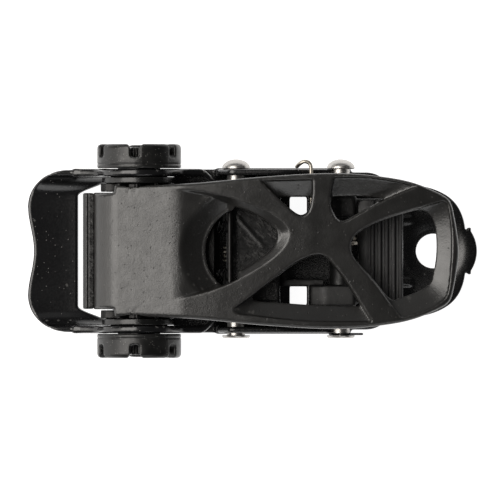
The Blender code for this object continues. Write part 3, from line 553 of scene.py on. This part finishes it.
# The wheels' flanks, in degrees from the steep face of a tooth: the long rise and the short fall
TEETH, TIP_R, ROOT_R, STEEP_FACE = 12, 9.6, 7.6, 8.0
RISE_START, RISE_LENGTH, FALL_START, FALL_LENGTH = 11, 12, 27, 3
FLANGE_R, FLANGE, SLEEVE_R = 9.3, 1.52, 7.1
BAR_GAP = 0.9
SCREW_R, DOME_R, SOCKET_R, SOCKET_FLOOR = 3.0, 9.0, 1.3, 0.15


def polar(x, z):
    return np.hypot(x - AXLE.x, z - AXLE.z), np.arctan2(z - AXLE.z, x - AXLE.x)


def key_holes(x, z):
    """The two half-round seats for the drum's bars."""
    radius, _ = polar(x, z)
    return np.maximum(radius - DRUM_R - SEAT_GAP, 0.6 - np.abs(z - AXLE.z))


def cap_field(x, y, z):
    """The castellated end cap, dished on its outer face."""
    radius, turn = polar(x, z)
    inner, outer = CAP_LOW.y, CAP_HIGH.y
    body = smax(smax(radius - CAP_R, y - outer, 1.2), inner - 0.02 - y, 0.4)
    groove = np.maximum(slab(y, inner + 0.9, inner + 1.1), CAP_R - 0.1 - radius)
    body = without(body, groove, 0.2)
    recess = np.maximum(radius - RECESS_R - (y - outer + RECESS) * 0.5, outer - RECESS - y)
    widening = FLARE * np.clip((FLARE_DEPTH - outer + y) / FLARE_DEPTH, 0, 1)
    slit = np.abs(x - AXLE.x - SLIT_X) - NOTCH_HALF - widening
    recess = np.minimum(recess, np.maximum(slit, outer - RECESS - y))
    body = without(body, recess, 0.4)
    pitch = math.tau / NOTCHES
    local = (turn - NOTCH_TURN + pitch / 2) % pitch - pitch / 2
    offset, reach = radius * np.sin(local), radius * np.cos(local)
    depth = outer - y
    flare = widening + RIM_FLARE * ease((reach - CAP_R + 0.5) / 0.5)
    notch = smax(np.abs(offset) - NOTCH_HALF - flare, depth - NOTCH_DEPTH, 1.1)
    ridge = NOTCH_RIDGE * ease((0.4 - np.abs(offset)) / 0.25)
    notch = smax(notch, NOTCH_FOOT_R + ridge - reach, 0.3)
    body = without(body, notch, 0.35)
    seat = np.maximum(key_holes(x, z), y - outer + SEAT_DEPTH)
    return without(body, seat, 0.2)


def wheel_field(x, y, z):
    radius, turn = polar(x, z)
    pitch = math.tau / TEETH
    degrees = ((turn - math.radians(STEEP_FACE)) % pitch) / pitch * (360 / TEETH)
    height = TIP_R - ROOT_R
    edge = ROOT_R + height * np.clip((degrees - RISE_START) / RISE_LENGTH, 0, 1)
    fall = TIP_R - height * (degrees - FALL_START) / FALL_LENGTH
    edge = np.where(degrees > FALL_START, fall, edge)
    body = smax((radius - edge) * 0.8, slab(y, WHEEL_LOW.y - 0.1, WHEEL_HIGH.y + 0.22), 0.15)
    return without(body, key_holes(x, z), 0.2)


def bush_field(x, y, z):
    radius, _ = polar(x, z)
    low, high = corners("arm_bush_left")
    flange = smax(radius - FLANGE_R, slab(y, low.y - 0.05, low.y + FLANGE), 0.2)
    sleeve = np.maximum(radius - SLEEVE_R, slab(y, low.y, high.y))
    return smax(np.minimum(flange, sleeve), DRUM_R + SEAT_GAP - radius, 0.4)


def drum_field(x, y, z):
    radius, _ = polar(x, z)
    half = smax(radius - DRUM_R, slab(y, -DRUM_HALF_LENGTH, DRUM_HALF_LENGTH), 1.0)
    return smax(half, BAR_GAP - (z - AXLE.z), 0.8)


def screw_field(x, y, z):
    """A low domed head with a hexagon socket."""
    radius, turn = polar(x, z)
    low, high = corners("cap_screw_left")
    dome = np.sqrt(radius**2 + (y - high.y + DOME_R) ** 2) - DOME_R
    head = smax(smax(radius - SCREW_R, low.y - y, 0.2), dome, 0.5)
    local = (turn + math.pi / 6) % (math.pi / 3) - math.pi / 6
    socket = np.maximum(radius * np.cos(local) - SOCKET_R, low.y + SOCKET_FLOOR - y)
    return without(head, socket, 0.1)


# Small parts

RIDGES, RIDGE_PITCH, RIDGE_START, RIDGE_HEIGHT = 5, 1.75, 30.1, 0.5
PAD_FALL, PAD_FALL_X, PAD_FALL_LENGTH = 0.25, 29.6, 2.7


def pad_field(x, y, z):
    """The ribbed pad, with a plain fall towards its front."""
    wave = np.cos((x - RIDGE_START - 0.62) / RIDGE_PITCH * math.tau)
    last = RIDGE_START + RIDGES * RIDGE_PITCH
    ribbed = (x > RIDGE_START - 0.25) & (x < last - 0.4)
    ridge = RIDGE_HEIGHT * ease(0.5 + 1.6 * wave) * ribbed
    flat = PAD_HIGH.z - RIDGE_HEIGHT
    falling = flat - PAD_FALL * ease((PAD_FALL_X - x) / PAD_FALL_LENGTH)
    top = np.where(x < RIDGE_START - 0.3, falling, flat + ridge)
    plan = smax(slab(x, PAD_LOW.x, PAD_HIGH.x), slab(y, PAD_LOW.y, PAD_HIGH.y), 2.0)
    return smax(plan, smax(PAD_LOW.z - z, z - top, 0.2), 0.45)


def guard_field(x, y, z):
    low, high = GUARD_LOW, GUARD_HIGH
    back = LEVER_LOW.x + 0.15
    profile = [(low.x, low.z), (low.x, 20.2), (-41.0, 21.0), (back, 21.0), (back, low.z)]
    body = smax(polygon(x, z, profile), slab(y, low.y, high.y), 0.5)
    groove = np.maximum(np.abs(x + 40.5) - 0.1, high.z - 0.3 - z)
    return without(body, groove, 0.15)


HUB_BLOCK = [(14.7, 6.6), (14.7, 11.4), (18.6, 12.9), (26.6, 12.9), (26.6, 6.4), (22.0, 5.0)]
THUMB_ARM = [(7.4, 7.6), (7.4, 9.1), (16.0, 9.4), (18.5, 9.4), (18.5, 7.0), (16.0, 6.8)]
THUMB_SLEEVE_R = 2.85
# The saddle's heights and the middle line of its gusset, in plan
SADDLE_FOOT, SADDLE_UNDER, SADDLE_TOP = 6.0, 13.2, 14.7
GUSSET_START, GUSSET_RUN, GUSSET_Z, GUSSET_R = (-2.9, 8.2), (6.2, -7.0), 14.0, 0.5
SEAM_Y = 0.4


def thumb_field(x, y, z):
    side = np.abs(y)
    hub = smax(polygon(x, z, rounded(HUB_BLOCK, 1.0)), slab(side, 8.6, 14.0), 0.6)
    arms = smax(polygon(x, z, THUMB_ARM), slab(side, 7.0, 8.9), 0.4)
    nose = block(x, y, z, (7.4, -8.2, 7.6), (9.6, 8.2, 9.1), 0.5)
    side_plates = block(x, side, z, (24.9, 8.62, 10.4), (28.8, 13.1, 12.0), 0.5)
    plate = block(x, y, z, (28.5, -13.1, 10.4), (38.25, 13.1, 12.0), 0.8)
    pin_r = np.hypot(x - PIN2.x, z - PIN2.z)
    sleeve = smax(pin_r - THUMB_SLEEVE_R, side - 8.8, 0.2)
    body = np.minimum(np.minimum(smin(hub, side_plates, 0.6), arms), np.minimum(nose, plate))
    body = np.minimum(body, sleeve)
    return without(body, pin_r - RIVET_HOLE_R, 0.2)


def saddle_field(x, y, z):
    side = np.abs(y)
    low, high = corners("pawl_saddle")
    top = block(x, y, z, (low.x, low.y, SADDLE_UNDER), (high.x, high.y, SADDLE_TOP), 0.5)
    cheek = block(x, side, z, (low.x, 12.8, SADDLE_FOOT), (high.x, high.y, 14.6), 0.5)
    body = smin(top, cheek, 0.8)
    (from_x, from_y), (run_x, run_y) = GUSSET_START, GUSSET_RUN
    reach = (x - from_x) * run_x + (y - from_y) * run_y
    along = np.clip(reach / (run_x * run_x + run_y * run_y), 0, 1)
    off_x, off_y = x - from_x - run_x * along, y - from_y - run_y * along
    gusset = np.sqrt(off_x**2 + off_y**2 + (z - GUSSET_Z) ** 2) - GUSSET_R
    body = smin(body, gusset, 0.6)
    seam = np.maximum(np.abs(y - SEAM_Y) - 0.06, SADDLE_TOP - 0.1 - z)
    body = without(body, seam, 0.1)
    return without(body, np.hypot(x - PIN1.x, z - PIN1.z) - RIVET_HOLE_R, 0.3)


def washer_field(x, y, z):
    low, high = corners("rear_rivet_washer")
    outline = [(low.x, 6.2), (high.x, 6.8), (high.x, 11.2), (low.x, 11.8)]
    body = smax(polygon(x, z, rounded(outline, 0.8)), slab(y, low.y, high.y), 0.3)
    return np.maximum(body, RIVET_HOLE_R - np.hypot(x - PIN2.x, z - PIN2.z))


def turned(name, profile, centre, segments=64):
    """A profile of (radius, y) turned about the Y line through centre."""
    points, faces = [], []
    for radius, y in profile:
        for i in range(segments):
            turn = math.tau * i / segments
            points.append((centre.x + radius * math.cos(turn), y, centre.z + radius * math.sin(turn)))
    for ring in range(len(profile) - 1):
        for i in range(segments):
            j = (i + 1) % segments
            a, b = ring * segments, (ring + 1) * segments
            faces.append((a + i, b + i, b + j, a + j))
    faces.append(tuple(range(segments)))
    faces.append(tuple(reversed(range(len(points) - segments, len(points)))))
    made = add_mesh(name, points, faces)
    made.data.shade_smooth()
    made.data.set_sharp_from_angle(angle=math.radians(40))
    return made


RIVET_TAIL, RIVET_SEAT, RIVET_HEAD_R, RIVET_SHANK_R = -21.15, 20.75, 3.5, 2.25


def rivet(name, node):
    """A domed head on the left side, a shank, and a flat tail on the right side."""
    low, high = corners(node)
    tail, seat = RIVET_TAIL, RIVET_SEAT
    profile = [(2.7, low.y), (3.2, low.y + 0.08), (3.45, low.y + 0.3), (RIVET_HEAD_R, tail - 0.1)]
    profile += [(3.4, tail), (RIVET_SHANK_R, tail), (RIVET_SHANK_R, seat - 0.2)]
    profile += [(3.1, seat - 0.2), (3.38, seat - 0.08)]
    for step in range(12):
        angle = math.radians(step * 7.5)
        height = (high.y - seat) * math.sin(angle)
        profile.append((RIVET_HEAD_R * math.cos(angle), seat + height))
    profile.append((0.25, high.y))
    return turned(name, profile, middle(node))


def wire(name, points, radius):
    """A round drawn wire along a smooth path."""
    curve = bpy.data.curves.new(name, "CURVE")
    curve.dimensions = "3D"
    curve.bevel_depth = radius * MM
    curve.bevel_resolution = 5
    curve.use_fill_caps = True
    curve.resolution_u = 6
    spline = curve.splines.new("NURBS")
    spline.points.add(len(points) - 1)
    for point, where in zip(spline.points, points):
        point.co = (*(Vector(where) * MM), 1)
    spline.order_u = 3
    spline.use_endpoint_u = True
    made = bpy.data.objects.new(name, curve)
    bpy.context.scene.collection.objects.link(made)
    return made


def coil(centre, radius, turns, pitch, axis, per_turn, start=0.0, hand=1):
    """Points of a coil about a line along X or Y."""
    points = []
    for i in range(int(turns * per_turn) + 1):
        turn = start + hand * math.tau * i / per_turn
        along, a, b = pitch * i / per_turn, radius * math.cos(turn), radius * math.sin(turn)
        if axis == "X":
            points.append((centre[0] + along, centre[1] + a, centre[2] + b))
        else:
            points.append((centre[0] + a, centre[1] + along, centre[2] + b))
    return points


def build_springs():
    """The four wire springs as (CAD node, body, piece)."""
    hooked = [(11.75, 21.15, 12.2), (11.9, 21.3, 13.6), (12.6, 22.0, 14.6), (13.6, 22.5, 14.9)]
    hooked += [(14.7, 22.2, 14.9), (15.3, 21.4, 14.9), (15.3, 18.0, 14.9), (15.3, 13.0, 14.7)]
    hooked += [(15.4, 8.6, 14.3), (16.2, 7.2, 14.0), (18.0, 6.4, 13.4)]
    turns = coil((PIN2.x, 6.0, PIN2.z), 3.5, 3.25, -1.25, "Y", 16, math.radians(110), -1)
    leg = [(27.2, 1.9, 8.7), (29.0, 1.9, 8.0), (33.5, 1.9, 7.8)]
    springs = [("latch_spring", "chassis", wire("latch_wire", hooked + turns + leg, 0.5))]
    turns = coil((PIN1.x, -2.6, PIN1.z), 3.1, 4.0, 1.1, "Y", 16, math.radians(90))
    springs.append(("hold_spring", "chassis", wire("hold_wire", turns, 0.4)))
    for name, y in (("left", 6.0), ("right", -6.0)):
        turns = coil((-8.4, y, 18.6), 1.3, 2.0, 1.0, "X", 16)
        springs.append((f"pawl_spring_{name}", "lever", wire(f"pawl_wire_{name}", turns, 0.25)))
    return springs


# Materials

class Nodes:
    """A material's node tree, with a short way to add and join nodes."""

    def __init__(self, name):
        self.material = bpy.data.materials.new(name)
        self.material.use_nodes = True
        self.tree = self.material.node_tree
        self.shader = self.tree.nodes["Principled BSDF"]
        self.coordinates = self.add("ShaderNodeTexCoord").outputs["Object"]

    def add(self, kind, links=None, **settings):
        """A node with its links, and settings that are attributes or input values of it."""
        node = self.tree.nodes.new(kind)
        for key, value in settings.items():
            if hasattr(node, key):
                setattr(node, key, value)
            else:
                node.inputs[key].default_value = value
        for socket, source in (links or {}).items():
            self.tree.links.new(source, node.inputs[socket])
        return node

    def noise(self, size_mm, detail=3.0, stretch=None):
        """Noise from 0 to 1 whose grain is about size_mm."""
        source = self.coordinates
        if stretch:
            source = self.add("ShaderNodeMapping", {"Vector": source}, Scale=stretch).outputs[0]
        node = self.add("ShaderNodeTexNoise", {"Vector": source}, Scale=1 / (size_mm * MM), Detail=detail)
        return node.outputs["Fac"]

    def spots(self, size_mm, share):
        """1 on scattered small spots, 0 elsewhere."""
        cells = self.add("ShaderNodeTexVoronoi", {"Vector": self.coordinates}, Scale=1 / (size_mm * MM))
        pick = self.add("ShaderNodeSeparateColor", {"Color": cells.outputs["Color"]})
        chosen = self.add("ShaderNodeMath", {0: pick.outputs[0]}, operation="LESS_THAN")
        chosen.inputs[1].default_value = share
        near = self.ranged(cells.outputs["Distance"], 1.0, 0.0, 0.12, 0.28)
        both = self.add("ShaderNodeMath", {0: chosen.outputs[0], 1: near}, operation="MULTIPLY")
        return both.outputs[0]

    def ranged(self, value, low, high, start=0.3, end=0.7):
        """A value from start to end, spread over low to high."""
        node = self.add("ShaderNodeMapRange", {"Value": value})
        for key, number in (("From Min", start), ("From Max", end), ("To Min", low), ("To Max", high)):
            node.inputs[key].default_value = number
        return node.outputs[0]

    def blend(self, share, first, second):
        """A mix of two colours, each a tuple or a socket."""
        node = self.add("ShaderNodeMix", data_type="RGBA")
        self.tree.links.new(share, node.inputs["Factor"])
        for socket, colour in ((node.inputs[6], first), (node.inputs[7], second)):
            if isinstance(colour, tuple):
                socket.default_value = (*colour, 1)
            else:
                self.tree.links.new(colour, socket)
        return node.outputs[2]

    def edges(self, low=0.52, high=0.6):
        """1 along worn outer edges."""
        point = self.add("ShaderNodeNewGeometry").outputs["Pointiness"]
        return self.ranged(point, 0, 1, low, high)

    def bump(self, heights):
        """Stacks bumps given as (height, strength, depth in mm)."""
        normal = None
        for height, strength, depth in heights:
            node = self.add("ShaderNodeBump", {"Height": height})
            node.inputs["Strength"].default_value = strength
            node.inputs["Distance"].default_value = depth * MM
            if normal:
                self.tree.links.new(normal, node.inputs["Normal"])
            normal = node.outputs[0]
        self.tree.links.new(normal, self.shader.inputs["Normal"])

    def finish(self, colour, roughness, metallic=0.0, **extra):
        """Joins colour and roughness to the shader, sets its constants, and hands out the material."""
        self.tree.links.new(colour, self.shader.inputs["Base Color"])
        self.tree.links.new(roughness, self.shader.inputs["Roughness"])
        self.shader.inputs["Metallic"].default_value = metallic
        for key, value in extra.items():
            self.shader.inputs[key.replace("_", " ")].default_value = value
        return self.material


def grey(value):
    return (value, value, value)


def powder_coat():
    """Satin black powder coat on a casting: fine orange peel, pits and worn edges."""
    n = Nodes("powder_coated_casting")
    mottled = n.blend(n.ranged(n.noise(9), 0, 1), (0.010, 0.0098, 0.0094), (0.015, 0.0146, 0.014))
    worn = n.blend(n.edges(), mottled, (0.04, 0.039, 0.037))
    dusted = n.blend(n.spots(0.7, 0.05), worn, (0.06, 0.058, 0.056))
    n.bump([(n.noise(1.4, 2), 0.22, 0.20), (n.noise(0.36, 3), 0.6, 0.06), (n.spots(0.8, 0.12), 0.5, -0.08)])
    return n.finish(dusted, n.ranged(n.noise(3), 0.28, 0.36), Specular_IOR_Level=0.6)


def gloss_coat(name, dark, light, rough, dust):
    """Glossy black electro-coat on stamped sheet, with scuffs and dust."""
    n = Nodes(name)
    mottled = n.blend(n.ranged(n.noise(6), 0, 1), dark, light)
    worn = n.blend(n.edges(0.53, 0.62), mottled, (0.07, 0.069, 0.067))
    dusted = n.blend(n.spots(0.55, dust), worn, (0.16, 0.155, 0.15))
    scuffs = n.noise(0.5, 4)
    n.bump([(n.noise(1.6, 2), 0.10, 0.08), (scuffs, 0.05, 0.02)])
    return n.finish(dusted, n.ranged(scuffs, *rough))


def moulded(name, dark, light, rough, dust):
    """Moulded black plastic with a fine spark texture and pale dust."""
    n = Nodes(name)
    mottled = n.blend(n.ranged(n.noise(4), 0, 1), dark, light)
    worn = n.blend(n.edges(), mottled, (0.03, 0.0295, 0.029))
    dusted = n.blend(n.spots(0.4, dust), worn, (0.17, 0.168, 0.16))
    n.bump([(n.noise(0.22, 3), 0.3, 0.05), (n.noise(1.5, 2), 0.25, 0.12)])
    return n.finish(dusted, n.ranged(n.noise(1.2), *rough), Specular_IOR_Level=0.4)


def metal(name, dark, light, rough, stretch):
    """Bare metal with drawing or turning marks along stretch."""
    n = Nodes(name)
    marks = n.noise(0.25, 4, stretch)
    colour = n.blend(n.ranged(marks, 0, 1), dark, light)
    n.bump([(marks, 0.12, 0.02), (n.noise(1.2, 2), 0.1, 0.05)])
    return n.finish(colour, n.ranged(n.noise(0.8), *rough), 1.0)


def floor_finish():
    """A pale light table: white, and lit a little from below, so that holes look white too."""
    n = Nodes("studio_floor")
    colour = n.blend(n.ranged(n.noise(40), 0, 1), grey(0.46), grey(0.50))
    n.shader.inputs["Emission Color"].default_value = (1, 1, 1, 1)
    return n.finish(colour, n.ranged(n.noise(20), 0.6, 0.7), Emission_Strength=TABLE_GLOW)


# Scene

def build_pieces():
    """Makes every visible piece."""
    coarse = 1.0
    coat = powder_coat()
    gloss = gloss_coat(
        "gloss_coated_sheet", (0.004, 0.004, 0.0045), (0.007, 0.007, 0.0075), (0.16, 0.26), 0.08
    )
    base_coat = gloss_coat(
        "base_coated_sheet", (0.005, 0.005, 0.0055), (0.008, 0.008, 0.0085), (0.2, 0.32), 0.05
    )
    cap_plastic = moulded("cap_plastic", grey(0.003), (0.009, 0.009, 0.0087), (0.28, 0.4), 0.22)
    pad_plastic = moulded(
        "pad_plastic", (0.012, 0.012, 0.0125), (0.020, 0.020, 0.0205), (0.36, 0.46), 0.05
    )
    dark_plastic = moulded("dark_plastic", grey(0.003), grey(0.005), (0.2, 0.28), 0.04)
    dull_coat = moulded("dull_coated_steel", grey(0.004), grey(0.007), (0.4, 0.52), 0.05)
    plate_coat = moulded("plate_coated_steel", grey(0.0025), grey(0.0045), (0.2, 0.28), 0.01)
    bright = metal("bright_rivet", (0.38, 0.37, 0.355), (0.54, 0.52, 0.50), (0.3, 0.42), (1, 6, 1))
    wire_metal = metal(
        "drawn_wire", (0.34, 0.315, 0.27), (0.46, 0.43, 0.38), (0.34, 0.45), (6, 6, 1)
    )
    # Black steel for the wheels, screw heads, pawls and small springs. Its dark colour is partly the
    # steel's own black and partly painted shade, standing in for the shade the wheels sit in beside the
    # hood.
    hardened = metal(
        "black_steel_with_painted_shade", (0.012, 0.012, 0.0125), (0.026, 0.0255, 0.025), (0.3, 0.42), (1, 6, 1)
    )

    lever = carve("lever_casting", LEVER_LOW, LEVER_HIGH, 0.26 * coarse, lever_field, 190_000)
    place(lever, "lever", "black_cast_alloy", coat, "crank_lever")
    guard_high = GUARD_HIGH + Vector((0.5, 0, 0))
    guard = carve("guard_strip", GUARD_LOW, guard_high, 0.12 * coarse, guard_field, 40_000)
    place(guard, "lever", "black_plastic", dark_plastic, "web_guard")

    front = carve("frame_stamping", FRAME_LOW, FRAME_HIGH, 0.26 * coarse, frame_field, 150_000)
    place(front, "chassis", "black_stamped_steel", gloss, "front_frame")
    base_low = BASE_LOW - Vector((2.5, 0, 0))
    base = carve("base_stamping", base_low, BASE_HIGH, 0.26 * coarse, base_field, 150_000)
    place(base, "chassis", "black_stamped_steel", base_coat, "base_channel")
    saddle = carve("saddle_plate", *corners("pawl_saddle"), 0.2 * coarse, saddle_field, 40_000)
    place(saddle, "chassis", "black_stamped_steel", plate_coat, "pawl_saddle")
    washer = carve("tail_washer", *corners("rear_rivet_washer"), 0.12, washer_field, 12_000)
    place(washer, "chassis", "black_stamped_steel", base_coat, "rear_rivet_washer")

    thumb = carve("thumb_casting", *corners("thumb_lever"), 0.22 * coarse, thumb_field, 60_000)
    place(thumb, "thumb_lever", "black_stamped_steel", dull_coat, "thumb_lever")
    pad = carve("ribbed_pad", PAD_LOW, PAD_HIGH, 0.14 * coarse, pad_field, 80_000)
    place(pad, "thumb_lever", "black_plastic", pad_plastic, "thumb_pad")

    drum_parts = (
        ("cap", "end_cap", cap_field, 0.17, 110_000, "black_plastic", cap_plastic),
        ("toothed_wheel", "ratchet_wheel", wheel_field, 0.17, 50_000, "hardened_steel", hardened),
        ("screw_head", "cap_screw", screw_field, 0.09, 20_000, "hardened_steel", hardened),
    )
    for name, node, field, step, budget, slot, finish in drum_parts:
        left = carve(f"{name}_left", *corners(f"{node}_left"), step * coarse, field, budget)
        right = copies(left, f"{name}_right")
        place(left, "drum", slot, finish, f"{node}_left")
        place(right, "drum", slot, finish, f"{node}_right")
    upper = carve("drum_half_upper", *corners("drum_bar_upper"), 0.2 * coarse, drum_field, 40_000)
    lower = copies(upper, "drum_half_lower")
    place(upper, "drum", "black_stamped_steel", base_coat, "drum_bar_upper")
    turn_over(lower)
    place(lower, "drum", "black_stamped_steel", base_coat, "drum_bar_lower")
    bush = carve("bush_left", *corners("arm_bush_left"), 0.17 * coarse, bush_field, 50_000)
    place(bush, "chassis", "black_plastic", dark_plastic, "arm_bush_left")
    place(copies(bush, "bush_right"), "chassis", "black_plastic", dark_plastic, "arm_bush_right")

    for name in ("front_rivet", "rear_rivet"):
        place(rivet(f"{name}_turned", name), "chassis", "bright_steel", bright, name)
    for node, body, spring in build_springs():
        place(spring, body, "spring_wire", hardened if body == "lever" else wire_metal, node)
    for node in ("drive_pawl", "hold_pawl", "spring_bar"):
        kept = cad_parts[node]
        kept.data.materials.clear()
        kept.data.materials.append(hardened)


# Softboxes: name, place in metres, point it faces, radiance, size in metres, tint
LIGHTS = [
    ("key", (-1.15, 0.40, 1.50), (-1.15, 0.40, 0), 5.9, (1.80, 1.40), (1.0, 0.965, 0.92)),
    ("side", (-1.30, -0.10, 0.45), (0, 0, 0), 2.2, (0.60, 1.20), (1.0, 0.97, 0.93)),
    ("near", (0.30, -1.20, 0.85), (0, 0, 0), 2.2, (1.00, 0.60), (1.0, 1.0, 1.0)),
    ("far", (0.10, 1.20, 0.70), (0, 0, 0), 0.3, (1.20, 0.60), (1.0, 1.0, 1.0)),
]
TABLE_GLOW, SKY = 0.95, 0.06


def light(name, location, target, radiance, size, tint):
    """A softbox that faces a point."""
    data = bpy.data.lights.new(name, "AREA")
    data.shape = "RECTANGLE"
    data.size, data.size_y = size
    data.energy = radiance * math.pi * size[0] * size[1]
    data.color = tint
    made = bpy.data.objects.new(name, data)
    made.location = location
    made.rotation_mode = "QUATERNION"
    made.rotation_quaternion = (Vector(target) - Vector(location)).to_track_quat("-Z", "Y")
    made.visible_camera = False
    bpy.context.scene.collection.objects.link(made)


# The camera looks straight down from far away. FRAME_WIDTH is what it sees at FACE_HEIGHT, in metres
CAMERA_HEIGHT, FRAME_WIDTH, FACE_HEIGHT = 4.0, 0.125, 0.02
CAMERA_X, CAMERA_Y = 0.0, 0.00025
FLOOR_HALF_SIZE, FLOOR_GAP = 3.0, 0.0002


def build_camera():
    data = bpy.data.cameras.new("camera")
    data.sensor_width = 36.0
    data.lens = data.sensor_width * (CAMERA_HEIGHT - FACE_HEIGHT) / FRAME_WIDTH
    data.clip_start, data.clip_end = 0.01, 10.0
    made = bpy.data.objects.new("camera", data)
    made.location = (CAMERA_X, CAMERA_Y, CAMERA_HEIGHT)
    bpy.context.scene.collection.objects.link(made)
    bpy.context.scene.camera = made


def build_studio():
    """The light table that the part lies on, the pale surroundings and the softboxes."""
    size = FLOOR_HALF_SIZE
    points = [(-size, -size, 0), (size, -size, 0), (size, size, 0), (-size, size, 0)]
    floor = bpy.data.objects.new("studio_floor", bpy.data.meshes.new("studio_floor"))
    floor.data.from_pydata(points, [], [(0, 1, 2, 3)])
    bpy.context.scene.collection.objects.link(floor)
    floor.location.z = CAD_BOX[0].z - FLOOR_GAP
    floor.data.materials.append(floor_finish())
    world = bpy.data.worlds.new("studio")
    bpy.context.scene.world = world
    world.use_nodes = True
    world.node_tree.nodes["Background"].inputs["Color"].default_value = (1, 1, 1, 1)
    world.node_tree.nodes["Background"].inputs["Strength"].default_value = SKY
    for softbox in LIGHTS:
        light(*softbox)
    bpy.context.scene.view_settings.view_transform = "Standard"


build_pieces()
build_studio()
build_camera()
